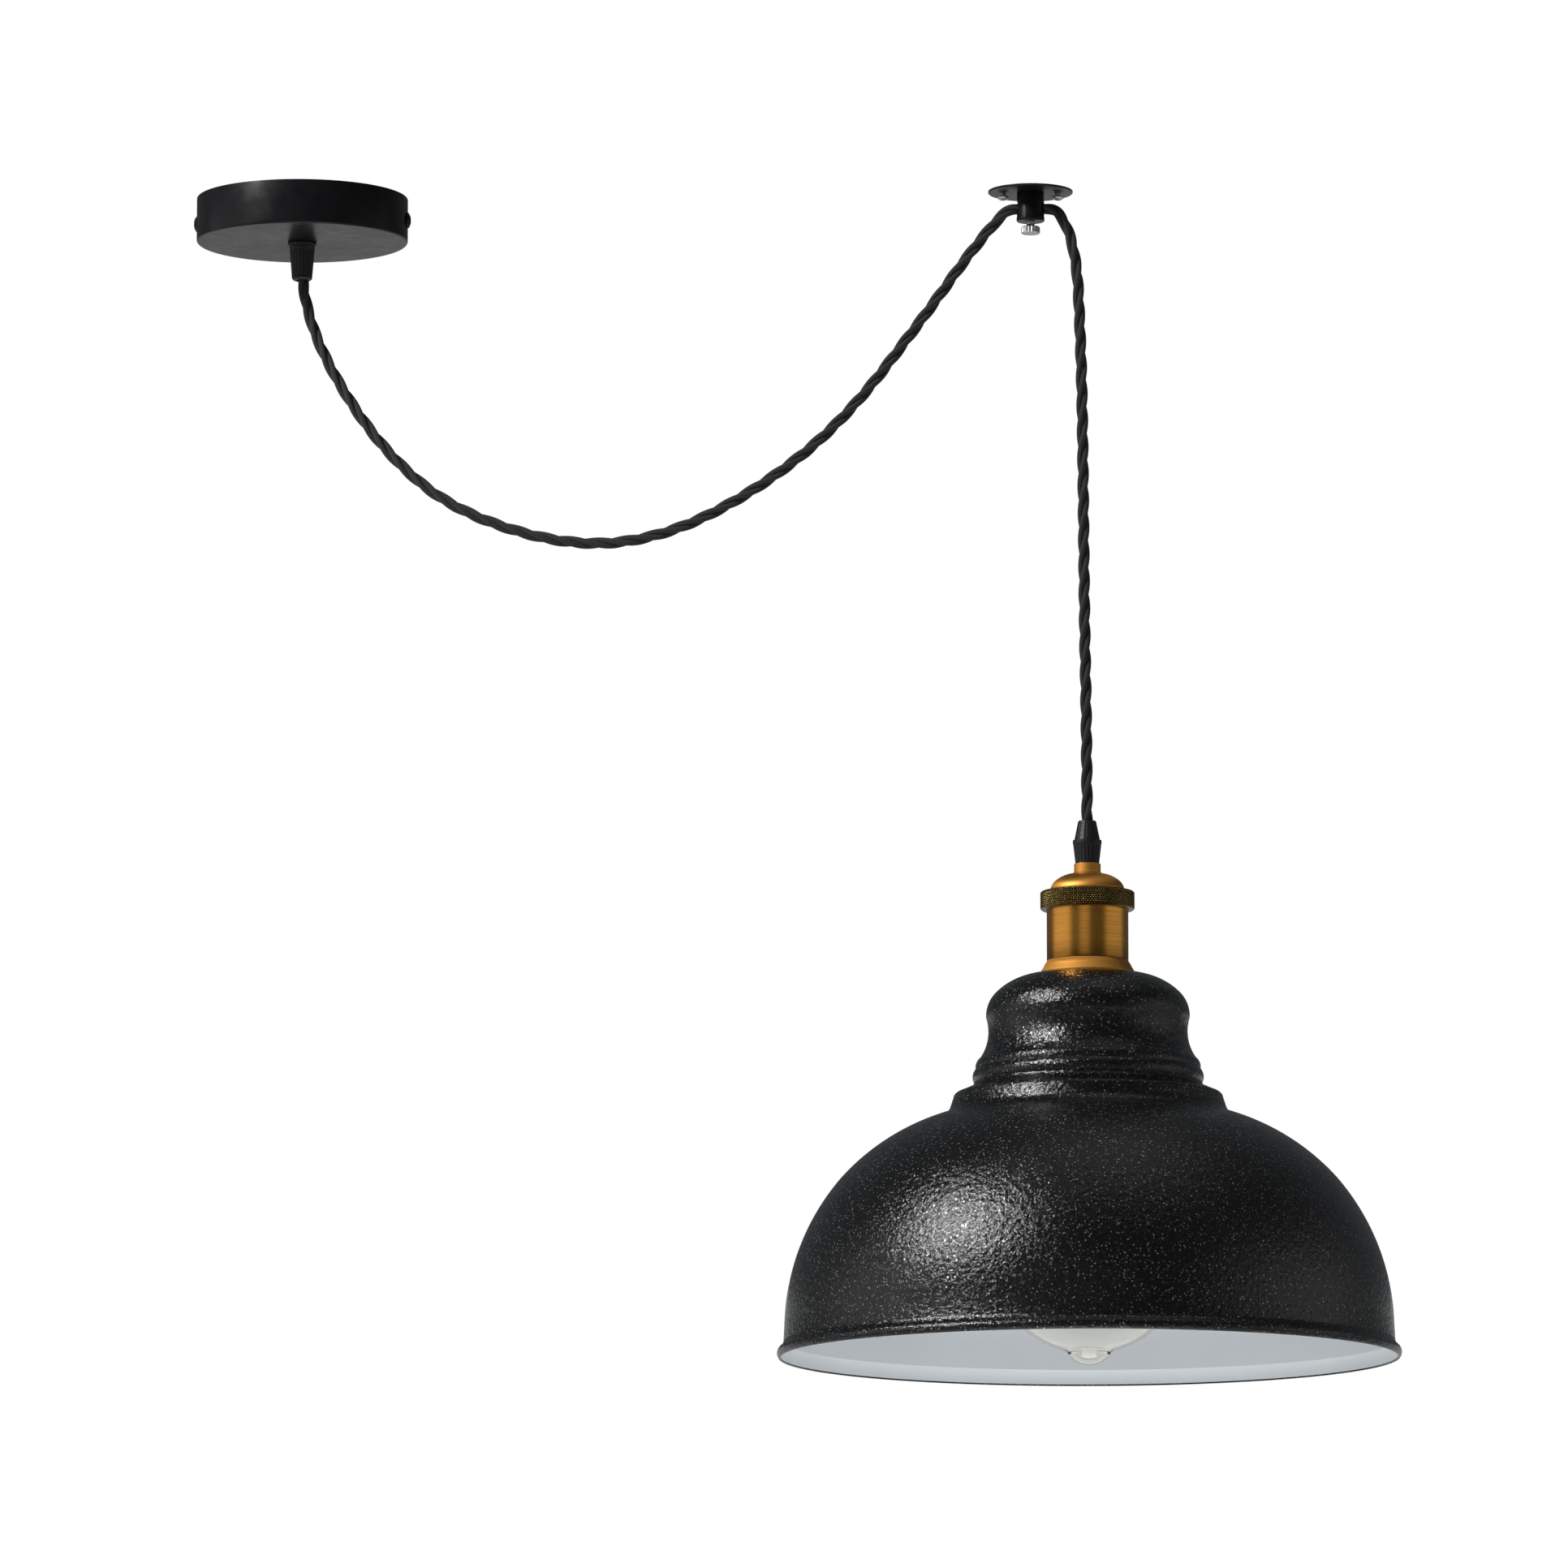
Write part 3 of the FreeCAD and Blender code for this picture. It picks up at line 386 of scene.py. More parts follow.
def sampled(corners, closed, steps):
    """Corners with their arcs drawn out. A corner is (r, z) or (r, z, arc radius)."""
    points = []
    count = len(corners)
    for index, corner in enumerate(corners):
        points.append(tuple(corner[:2]))
        if len(corner) > 2 and (closed or index + 1 < count):
            points += arc_between(corner[:2], corners[(index + 1) % count][:2], corner[2], steps)[:-1]
    return points


def softened(points, closed, edge):
    """Sharp corners replaced by small round ones of about the edge radius."""
    result = []
    count = len(points)
    for index, point in enumerate(points):
        inside = closed or 0 < index < count - 1
        here = np.array(point)
        before = np.array(points[index - 1]) - here
        after = np.array(points[(index + 1) % count]) - here
        spans = np.hypot(*before), np.hypot(*after)
        if not inside or min(spans) < SAME_PLACE:
            result.append(point)
            continue
        before, after = before / spans[0], after / spans[1]
        turn = math.pi - math.acos(float(np.clip(before @ after, -1, 1)))
        if turn < SMOOTH_TURN:
            result.append(point)
            continue
        cut = min(edge * math.tan(turn / 2), 0.4 * spans[0], 0.4 * spans[1])
        first, last = here + before * cut, here + after * cut
        for share in (0.0, 0.33, 0.67, 1.0):
            curve = first * (1 - share) ** 2 + here * 2 * share * (1 - share) + last * share ** 2
            result.append(tuple(curve))
    return result


def finely(points, closed, step):
    """Long sides divided so that no span is longer than step."""
    result = []
    following = points[1:] + points[:1] if closed else points[1:]
    for start, end in zip(points, following):
        parts = max(1, math.ceil(math.dist(start, end) / step))
        for part in range(parts):
            share = part / parts
            result.append(tuple(a + (b - a) * share for a, b in zip(start, end)))
    if not closed:
        result.append(points[-1])
    return result


def new_piece(name, vertices, faces, uvs, materials, choice=None):
    """A smooth mesh object in the scene."""
    mesh = bpy.data.meshes.new(name)
    mesh.from_pydata([tuple(vertex) for vertex in vertices], [], faces)
    layer = mesh.uv_layers.new(name="piece")
    layer.data.foreach_set("uv", np.array(uvs, np.float32).ravel())
    for material in materials:
        mesh.materials.append(material)
    if choice is not None:
        mesh.polygons.foreach_set("material_index", np.array(choice, np.int32))
    mesh.polygons.foreach_set("use_smooth", np.ones(len(mesh.polygons), bool))
    mesh.update()
    mesh.set_sharp_from_angle(angle=CREASE)
    piece = bpy.data.objects.new(name, mesh)
    bpy.context.scene.collection.objects.link(piece)
    return piece


def lathe(name, corners, centre, materials, closed=True, segments=192, edge=0.25, steps=10,
          step=None, relief=None, lift=None, inner_from=None):
    """Revolve a section given in millimetres as (radius, height) from a centre in metres.

    relief and lift add to the radius and the height as functions of angle, radius and
    height. Faces after the point nearest to inner_from take the second material.
    """
    points = softened(sampled(corners, closed, steps), closed, edge)
    if step:
        points = finely(points, closed, step)
    radii = np.array([point[0] for point in points])
    heights = np.array([point[1] for point in points])
    angles = np.linspace(0, TURN, segments, endpoint=False)
    angle, radius = np.meshgrid(angles, radii)
    height = np.meshgrid(angles, heights)[1]
    wide = radius + (relief(angle, radius, height) if relief else 0)
    high = height + (lift(angle, radius, height) if lift else 0)
    vertices = np.stack([centre[0] + wide * np.cos(angle) * MM, centre[1] + wide * np.sin(angle) * MM,
                         centre[2] + high * MM], axis=-1).reshape(-1, 3)
    spans = np.hypot(np.diff(radii, append=radii[0]), np.diff(heights, append=heights[0]))
    along = np.concatenate([[0], np.cumsum(spans)]) * MM
    around = max(radii) * TURN * MM / segments
    faces, uvs, choice = [], [], []
    rows = len(points) if closed else len(points) - 1
    split = None
    if inner_from is not None:
        split = int(np.argmin([math.dist(point, inner_from) for point in points]))
    for row in range(rows):
        after = (row + 1) % len(points)
        for column in range(segments):
            beside = (column + 1) % segments
            face = (row * segments + column, row * segments + beside,
                    after * segments + beside, after * segments + column)
            faces.append(face)
            left, right = column * around, (column + 1) * around
            start, end = along[row], along[row + 1]
            uvs += [(left, start), (right, start), (right, end), (left, end)]
            choice.append(0 if split is None or row < split else 1)
    piece = new_piece(name, vertices, faces, uvs, materials, choice)
    tidy = bmesh.new()
    tidy.from_mesh(piece.data)
    bmesh.ops.remove_doubles(tidy, verts=tidy.verts, dist=1e-7)
    bmesh.ops.recalc_face_normals(tidy, faces=tidy.faces)
    tidy.to_mesh(piece.data)
    tidy.free()
    return piece


def fit(piece, body, slot, *nodes):
    """Ride a piece on its body and let it stand for CAD nodes."""
    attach(piece, body)
    if nodes:
        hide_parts(*nodes)
    return piece


def ribs(count, depth, low, high):
    """Relief of upright ribs between two heights."""
    def relief(angle, radius, height):
        inside = np.clip((height - low) / 0.5, 0, 1) * np.clip((high - height) / 0.5, 0, 1)
        return -depth * inside * (0.5 - 0.5 * np.cos(angle * count)) ** 0.6
    return relief


# ---------------------------------------------------------------------------- cords
# The cord's route in metres: from the rose to the clamp, and from the clamp to the lamp.
SWAG_POINTS = [
    (0, 0, -0.030), (0, 0, -0.0471), (0.0127, -0.0007, -0.0814), (0.0396, -0.0023, -0.1222),
    (0.0733, -0.0043, -0.1509), (0.1262, -0.0073, -0.168), (0.1707, -0.0099, -0.1645),
    (0.2165, -0.0126, -0.1416), (0.2572, -0.0149, -0.1086), (0.296, -0.0172, -0.0575),
    (0.3125, -0.0181, -0.0342), (0.3225, -0.0187, -0.0214), (0.3288, -0.0191, -0.014),
    (0.3336, -0.0194, -0.0094), (0.3382, -0.0197, -0.0079), (0.344, -0.020, -0.0079),
]
DROP_POINTS = [
    (0.3444, -0.020, -0.0079), (0.3514, -0.020, -0.0079), (0.3568, -0.020, -0.0092),
    (0.3606, -0.020, -0.0142), (0.3639, -0.020, -0.0228), (0.3662, -0.020, -0.0352),
    (0.36725, -0.020, -0.047), (0.3689, -0.020, -0.098), (0.3694, -0.020, -0.205),
    (0.3703, -0.020, -0.262), (0.3703, -0.020, -0.309),
]
CORD_DIAMETER = 0.0056
STRAND_DIAMETER = 0.00268
LAY = 0.0384
STRANDS = 3


def smooth_line(points):
    """Points read from the route's NURBS spline, evenly spaced."""
    curve = bpy.data.curves.new("route", "CURVE")
    curve.dimensions = "3D"
    spline = curve.splines.new("NURBS")
    spline.points.add(len(points) - 1)
    for spot, point in zip(spline.points, points):
        spot.co = (*point, 1)
    spline.order_u = 3
    spline.use_endpoint_u = True
    spline.resolution_u = 32
    holder = bpy.data.objects.new("route", curve)
    bpy.context.scene.collection.objects.link(holder)
    bpy.context.view_layer.update()
    mesh = bpy.data.meshes.new_from_object(holder.evaluated_get(bpy.context.evaluated_depsgraph_get()))
    line = np.array([vertex.co for vertex in mesh.vertices])
    bpy.data.meshes.remove(mesh)
    bpy.data.objects.remove(holder)
    distance = np.concatenate([[0], np.cumsum(np.linalg.norm(np.diff(line, axis=0), axis=1))])
    stops = np.linspace(0, distance[-1], int(distance[-1] / 0.0008) + 1)
    return np.stack([np.interp(stops, distance, line[:, axis]) for axis in range(3)], axis=1)


def frames(line):
    """Tangent, normal and binormal along a line, turning as little as possible."""
    tangents = np.gradient(line, axis=0)
    tangents /= np.linalg.norm(tangents, axis=1)[:, None]
    normal = np.cross(tangents[0], (0.0, 1.0, 0.0))
    normals = []
    for tangent in tangents:
        normal = normal - tangent * (normal @ tangent)
        normal = normal / np.linalg.norm(normal)
        normals.append(normal)
    normals = np.array(normals)
    return tangents, normals, np.cross(tangents, normals)


def tube_mesh(line, radius, sides=16):
    """Vertices, faces and texture places of a capped tube round a line."""
    _, normals, binormals = frames(line)
    angles = np.linspace(0, TURN, sides, endpoint=False)
    ring = normals[:, None] * np.cos(angles)[:, None] + binormals[:, None] * np.sin(angles)[:, None]
    vertices = (line[:, None] + ring * radius).reshape(-1, 3)
    distance = np.concatenate([[0], np.cumsum(np.linalg.norm(np.diff(line, axis=0), axis=1))])
    faces, uvs = [], []
    arc = TURN * radius / sides
    for row in range(len(line) - 1):
        for side in range(sides):
            beside = (side + 1) % sides
            faces.append((row * sides + side, row * sides + beside,
                          (row + 1) * sides + beside, (row + 1) * sides + side))
            uvs += [(side * arc, distance[row]), ((side + 1) * arc, distance[row]),
                    ((side + 1) * arc, distance[row + 1]), (side * arc, distance[row + 1])]
    first = tuple(reversed(range(sides)))
    last = tuple(range(len(line) * sides - sides, len(line) * sides))
    for cap, reach in ((first, distance[0]), (last, distance[-1])):
        faces.append(cap)
        uvs += [(0.0, reach)] * sides
    return vertices, faces, uvs


def twisted_cord(name, points, material, start_angle):
    """Three strands laid up right-handed round the route."""
    line = smooth_line(points)
    _, normals, binormals = frames(line)
    distance = np.concatenate([[0], np.cumsum(np.linalg.norm(np.diff(line, axis=0), axis=1))])
    lay_radius = (CORD_DIAMETER - STRAND_DIAMETER) / 2
    vertices, faces, uvs = [], [], []
    for strand in range(STRANDS):
        angle = start_angle + TURN * (strand / STRANDS + distance / LAY)
        offset = normals * np.cos(angle)[:, None] + binormals * np.sin(angle)[:, None]
        tube, sides, places = tube_mesh(line + offset * lay_radius, STRAND_DIAMETER / 2)
        base = len(vertices)
        vertices += list(tube)
        faces += [tuple(index + base for index in face) for face in sides]
        uvs += places
    piece = new_piece(name, vertices, faces, uvs, [material])
    return piece, line, float(distance[-1])


def make_cords(material):
    """The swag on the ceiling side, and the drop that carries the lamp."""
    swag, line, length = twisted_cord("swag_cord_strands", SWAG_POINTS, material, 0.6)
    fit(swag, "root", "black_fabric", "swag_cord")
    drop, line, length = twisted_cord("drop_cord_strands", DROP_POINTS, material, 2.2)
    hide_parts("cord_bend", "cord_drop")
    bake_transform(drop)


# ---------------------------------------------------------------------- ceiling rose
def make_rose(paint, nylon):
    """Cup, its two side screws and the ribbed cord grip below it."""
    radius = radius_of("canopy_grip_base")
    outer = 50.0
    depth = -level("canopy_cup", 0, 0.0)
    bore = 5.1
    cup = lathe("rose_cup", [
        (bore, -depth), (outer - 1.1, -depth, 1.1), (outer, 1.1 - depth), (outer, 0),
        (outer - 1.2, 0), (outer - 1.2, 2.0 - depth), (outer - 2.2, 1.2 - depth), (bore, 1.2 - depth),
    ], ROSE, [paint], segments=256, edge=0.25)
    cut_side_holes(cup, outer)
    fit(cup, "root", "black_satin", "canopy_cup")
    heads = [domed_head(f"rose_side_screw_{side}", 3.75, 1.8, 9.0, paint) for side in (0, 1)]
    for side, head in zip((1, -1), heads):
        outward = Vector((math.cos(SIDE_SCREW_TURN) * side, math.sin(SIDE_SCREW_TURN) * side, 0))
        aim(head, outward * outer * MM + Vector((0, 0, -SIDE_SCREW_DROP * MM)), outward)
        fit(head, "root", "black_satin", "canopy_side_screws")

    under = level("canopy_cup", 0, 0.0)
    collar = level("canopy_grip_cap", 1, 0.0)
    mouth = level("canopy_grip_cap", 0, 0.0)
    base = lathe("rose_grip_base", [
        (3.5, under + 9.6), (3.5, collar - 7.8), (4.15, collar - 7.8), (4.15, collar),
        (radius - 0.1, collar), (radius, collar + 0.3), (radius, under - 0.2), (radius - 0.3, under),
        (5.0, under), (5.0, under + 9.6),
    ], ROSE, [nylon], segments=144, edge=0.12)
    fit(base, "root", "black_nylon", "canopy_grip_base")
    cap = lathe("rose_grip_cap", [
        (4.3, collar), (6.05, collar), (5.95, collar - 1.4), (4.85, mouth + 1.6, -1.7),
        (3.7, mouth), (2.95, mouth), (2.95, collar - 8.5), (4.3, collar - 8.5),
    ], ROSE, [nylon], segments=288, edge=0.12, step=0.5,
        relief=ribs_outside(24, 0.28, mouth + 1.4, collar - 1.2, 4.6))
    fit(cap, "root", "black_nylon", "canopy_grip_cap")


def ribs_outside(count, depth, low, high, least):
    """Upright ribs on the outside only, where the radius is over a least value."""
    plain = ribs(count, depth, low, high)
    return lambda angle, radius, height: plain(angle, radius, height) * (radius > least)


def cut_side_holes(cup, outer):
    """Round holes and narrow slots above them in the two sides of the cup."""
    hole, slot_length, slot_width, slot_rise = 2.1 * MM, 7.2 * MM, 1.0 * MM, 3.4 * MM
    reach = (outer * 2 + 10) * MM
    cutter = rod(hole, reach, 32)
    slot = bmesh.ops.create_cube(cutter, size=1.0)["verts"]
    bmesh.ops.scale(cutter, vec=(slot_length, slot_width, reach), verts=slot)
    bmesh.ops.translate(cutter, vec=(-slot_rise, 0, 0), verts=slot)
    cut_across(cup, cutter, (0, 0, -SIDE_SCREW_DROP * MM), SIDE_SCREW_TURN)


def rod(radius, length, segments):
    """A plain cylinder along Z, in metres, for a cutter."""
    made = bmesh.new()
    bmesh.ops.create_cone(made, cap_ends=True, segments=segments, radius1=radius, radius2=radius,
                          depth=length)
    return made


def cut_across(piece, cutter, spot, turn=0.0):
    """Cut a cutter made along Z out of a piece, laid along X and turned, for good."""
    mesh = bpy.data.meshes.new("cutter")
    cutter.to_mesh(mesh)
    cutter.free()
    tool = bpy.data.objects.new("cutter", mesh)
    bpy.context.scene.collection.objects.link(tool)
    tool.rotation_euler = (0, math.pi / 2, turn)
    tool.location = spot
    bpy.context.view_layer.update()
    cut = piece.modifiers.new("cut", "BOOLEAN")
    cut.object = tool
    cut.solver = "EXACT"
    cut.use_self = True
    result = bpy.data.meshes.new_from_object(piece.evaluated_get(bpy.context.evaluated_depsgraph_get()))
    piece.modifiers.clear()
    piece.data = result
    bpy.data.objects.remove(tool)
    piece.data.set_sharp_from_angle(angle=CUT_CREASE)


def aim(piece, spot, axis):
    """Turn a piece made along +Z so that it points along an axis, at a spot."""
    piece.rotation_mode = "QUATERNION"
    piece.rotation_quaternion = Vector((0, 0, 1)).rotation_difference(Vector(axis))
    piece.location = spot


def domed_head(name, head, rise, shank, material):
    """A pan-head screw with a crossed recess; its head stands up from z 0."""
    def recess(angle, radius, height):
        across = np.abs(radius * np.cos(angle))
        along = np.abs(radius * np.sin(angle))
        arm = (np.minimum(across, along) < 0.42) & (np.maximum(across, along) < head * 0.52)
        return np.where(arm & (height > 0), -0.55 * rise, 0.0)

    corners = [(0.02, -shank), (head * 0.5, -shank), (head * 0.5, 0), (head, 0),
               (head, rise * 0.35, head * 1.35), (0.02, rise)]
    return lathe(name, corners, ROSE, [material], closed=False, segments=96, edge=0.18, steps=16,
                 step=0.3, lift=recess)


# --------------------------------------------------------------------- ceiling clamp
def make_clamp(paint, steel):
    """Round plate, barrel with the cord's bore, plate screws and thumb screw."""
    rim = radius_of("hook_plate")
    plate = lathe("clamp_plate", [
        (0.02, -1.0), (rim - 0.3, -1.0), (rim, -0.7), (rim, -0.1), (rim - 0.1, 0), (0.02, 0),
    ], CLAMP, [paint], closed=False, segments=192, edge=0.15)
    fit(plate, "root", "black_satin", "hook_plate")

    wide = radius_of("hook_barrel")
    low = level("hook_barrel", 0, 0.0)
    barrel = lathe("clamp_barrel", [
        (0.02, low), (2.1, low), (wide - 0.35, low), (wide, low + 0.35), (wide, low + 1.9),
        (wide - 0.15, low + 2.1), (wide - 0.15, -1.02), (0.02, -1.02),
    ], CLAMP, [paint], closed=False, segments=160, edge=0.2)
    bore_radius, bore_length = 3.5 * MM, 20 * MM
    cut_across(barrel, rod(bore_radius, bore_length, 48), (CLAMP[0], CLAMP[1], SWAG_POINTS[-1][2]))
    fit(barrel, "root", "black_satin", "hook_barrel")

    screw_reach, head_drop = 13.0, 2.5
    for side in (-1, 1):
        head = domed_head(f"clamp_plate_screw_{(side + 1) // 2}", 2.8, 2.0, 2.4, steel)
        aim(head, Vector((CLAMP[0] + side * screw_reach * MM, CLAMP[1], -head_drop * MM)), (0, 0, -1))
        fit(head, "root", "zinc_steel", "hook_plate_screws")

    knob, foot, top = 4.45, level("clamp_screw", 0, 0.0), level("clamp_screw", 1, 0.0)
    screw = lathe("thumb_screw", [
        (0.02, foot + 0.25), (1.6, foot + 0.1), (2.2, foot), (knob - 0.5, foot), (knob, foot + 0.5),
        (knob, foot + 3.0), (knob - 0.5, foot + 3.5), (2.4, foot + 3.5), (2.0, foot + 3.9), (2.0, top),
        (0.02, top),
    ], CLAMP, [steel], closed=False, segments=192, edge=0.15, step=0.25,
        relief=thumb_relief(knob, foot))
    fit(screw, "thumb_screw", "zinc_steel", "clamp_screw")


def thumb_relief(knob, foot):
    """Coarse rounded ribs round the thumb screw's head, in pairs, and a thread on its stem."""
    half_ribs = 9

    def relief(angle, radius, height):
        rib = -0.4 * np.abs(np.sin(angle * half_ribs)) ** 1.5 * (radius > knob - 0.6)
        thread = -0.18 * (0.5 + 0.5 * np.cos(TURN * (height - foot) / M4_PITCH - angle))
        return rib + thread * ((radius > 1.9) & (radius < 2.1) & (height > foot + 4.1))
    return relief


# -------------------------------------------------------------------------- lamp
def make_holder(brass, body_brass, bronze, nylon):
    """Cord grip, neck bush, domed cap, knurled ring, body and skirt."""
    # brass is body_brass darkened to about two thirds: painted shade on the bush, dome, skirt and lock
    # ring.
    datum = LAMP[2]
    lip_low, lip_high = 61.4, level("holder_grip_cap", 0, datum)
    grip_top = level("holder_grip_cap", 1, datum)
    bush_low, bush_top = level("holder_neck_bush", 0, datum), level("holder_neck_bush", 1, datum)
    collar = radius_of("holder_grip_base")
    cap = lathe("holder_grip_cone", [
        (4.3, lip_high), (6.05, lip_high), (4.3, grip_top - 0.5), (4.1, grip_top), (2.95, grip_top),
        (2.95, lip_high + 6.5), (4.3, lip_high + 6.5),
    ], LAMP, [nylon], segments=240, edge=0.15, step=0.5,
        relief=ribs_outside(20, 0.12, lip_high + 0.3, grip_top - 0.8, 4.35))
    fit(cap, "lamp", "black_nylon", "holder_grip_cap")
    base = lathe("holder_grip_foot", [
        (3.5, bush_low - 6), (5.0, bush_low - 6), (5.0, bush_top), (5.55, bush_top), (6.6, lip_low),
        (collar, lip_low + 0.15), (collar, lip_high - 0.1), (collar - 0.2, lip_high), (4.15, lip_high),
        (4.15, lip_high + 5.8), (3.5, lip_high + 5.8),
    ], LAMP, [nylon], segments=288, edge=0.12, step=0.5,
        relief=ribs_outside(24, 0.22, bush_top + 0.2, lip_low - 0.2, 5.3))
    fit(base, "lamp", "black_nylon", "holder_grip_base")

    bush = radius_of("holder_neck_bush")
    neck = lathe("holder_bush", [
        (5.05, bush_low), (bush - 0.1, bush_low), (bush, bush_low + 0.35), (bush, bush_low + 0.8),
        (bush - 0.3, bush_low + 1.1), (bush - 0.3, bush_top - 0.25), (bush - 0.55, bush_top),
        (5.05, bush_top),
    ], LAMP, [brass], edge=0.12)
    fit(neck, "lamp", "antique_brass", "holder_neck_bush")

    ring_low, ring_high = level("knurled_ring", 0, datum), level("knurled_ring", 1, datum)
    body_top = level("holder_body", 1, datum) + 0.3
    wide = radius_of("holder_cap")
    dome = lathe("holder_dome", [
        (5.05, bush_low - 1.2), (5.05, bush_low), (8.4, bush_low, -14.0), (14.8, bush_low - 2.9, -7.0),
        (17.4, bush_low - 7.3), (17.4, ring_high, -3.0), (wide, ring_high - 1.9),
        (wide, body_top), (wide - 1.2, body_top), (wide - 1.2, ring_high - 2.4),
        (16.2, ring_high - 0.9), (16.2, bush_low - 7.3, 5.8), (14.06, bush_low - 3.85, 12.8),
        (8.2, bush_low - 1.2),
    ], LAMP, [brass], segments=224, edge=0.2, steps=14)
    fit(dome, "lamp", "antique_brass", "holder_cap")

    ring = radius_of("knurled_ring")
    knurled = lathe("holder_knurled_ring", [
        (wide + 0.1, ring_low + 5.4), (19.2, ring_low + 5.4), (19.2, ring_low), (ring - 0.55, ring_low),
        (ring, ring_low + 0.55), (ring, ring_high - 0.55), (ring - 0.55, ring_high),
        (wide + 0.1, ring_high),
    ], LAMP, [bronze], segments=896, edge=0.15, step=0.16,
        relief=diamond_knurl(ring, ring_low + 0.45, ring_high - 0.45))
    fit(knurled, "lamp", "dark_bronze", "knurled_ring")

    wide = radius_of("holder_body")
    low, high = level("holder_body", 0, datum), level("holder_body", 1, datum)
    body = lathe("holder_barrel", [
        (wide - 1.2, low), (wide, low), (wide, high), (wide - 1.2, high),
    ], LAMP, [body_brass], segments=224, edge=0.2, step=3.0)
    fit(body, "lamp", "antique_brass", "holder_body")

    flare, liner = radius_of("holder_skirt"), 17.2
    skirt = lathe("holder_flare", [
        (liner - 1.3, -12.0), (liner, -12.0), (liner, 0), (flare, 0), (flare, 0.9),
        (flare - 1.5, 3.4, 14.0), (wide + 0.15, low - 0.5), (wide - 0.1, low), (liner - 1.3, low),
    ], LAMP, [brass], segments=224, edge=0.18)
    fit(skirt, "lamp", "antique_brass", "holder_skirt")
    lock_ring = lathe("shade_lock_ring", [
        (liner + 0.05, -5.6), (liner + 2.2, -5.6), (liner + 2.2, -2.9), (21.5, -2.9), (21.9, -2.4),
        (21.9, -1.05), (liner + 0.05, -1.05),
    ], LAMP, [brass], segments=240, edge=0.15, step=0.5,
        relief=ribs_outside(60, 0.3, -2.9, -1.05, 21.4))
    fit(lock_ring, "lamp", "antique_brass", "shade_ring")


def diamond_knurl(ring, low, high):
    """Two crossing sets of slanted grooves that leave small diamonds."""
    pitch = TURN * ring / KNURL_COUNT

    def groove(phase):
        return np.abs(phase - np.floor(phase) - 0.5) * 2

    def relief(angle, radius, height):
        one = groove(angle * KNURL_COUNT / TURN + height / pitch * KNURL_SLANT)
        other = groove(angle * KNURL_COUNT / TURN - height / pitch * KNURL_SLANT)
        inside = np.clip((height - low) / 0.3, 0, 1) * np.clip((high - height) / 0.3, 0, 1)
        depth = np.clip(1 - np.minimum(one, other) * 1.9, 0, 1)
        return -0.42 * depth * inside * (radius > ring - 0.3)
    return relief


# Stations down the outside of the shade, in millimetres: radius, drop below its top, angle
# of the outward normal above the horizontal in degrees, and radius of the arc to the next
# station, negative where the wall bulges outwards.
SHADE_STATIONS = [
    (22.0, 0.0, 90, -30.0), (43.2, 8.8, 45, -15.0), (47.6, 19.4, 0, -7.5), (47.3, 21.3, -15, 21.9),
    (50.6, 39.6, 42, -5.0), (52.6, 43.6, 0, None), (52.5, 44.6, 12, -5.5), (53.3, 51.0, 20, 3.0),
    (55.4, 53.4, 64, None), (60.6, 55.7, 60, -2.8), (63.0, 58.2, 17, None), (64.4, 62.4, 24, 5.5),
    (68.6, 66.3, 70, -104.0), (116.4, 97.1, 41, -108.0), (141.7, 160.5, 3, None),
    (142.3, 172.2, 10, 5.0), (143.6, 174.6, 22, -3.4),
]
SHADE_WALL = 1.0


def make_shade(outside, inside):
    """Spun bell with a waist, a stepped shoulder and a rolled rim, white inside."""
    hole, turned_edge = 17.5, 0.7
    outer, inner, before = [(hole, 0.0)], [], None
    for radius, drop, lean, bend in SHADE_STATIONS:
        across, up = math.cos(math.radians(lean)), math.sin(math.radians(lean))
        outer.append((radius, -drop) if bend is None else (radius, -drop, bend))
        corner = (radius - SHADE_WALL * across, -drop - SHADE_WALL * up)
        inner.insert(0, corner if before is None else (*corner, -SHADE_WALL - before))
        before = bend
    edge = -level("shade", 0, LAMP[2])
    lip = radius_of("shade") - 0.35
    outer += [(lip, -edge), (lip - SHADE_WALL, -edge), (lip - SHADE_WALL, turned_edge - edge)]
    inner[0] = inner[0][:2]
    inner.append((hole, -SHADE_WALL))
    shade = lathe("bell_shade", outer + inner, LAMP, [outside, inside], segments=384, edge=0.3,
                  steps=28, inner_from=(lip - SHADE_WALL, turned_edge - edge))
    fit(shade, "lamp", "black_hammered", "shade")


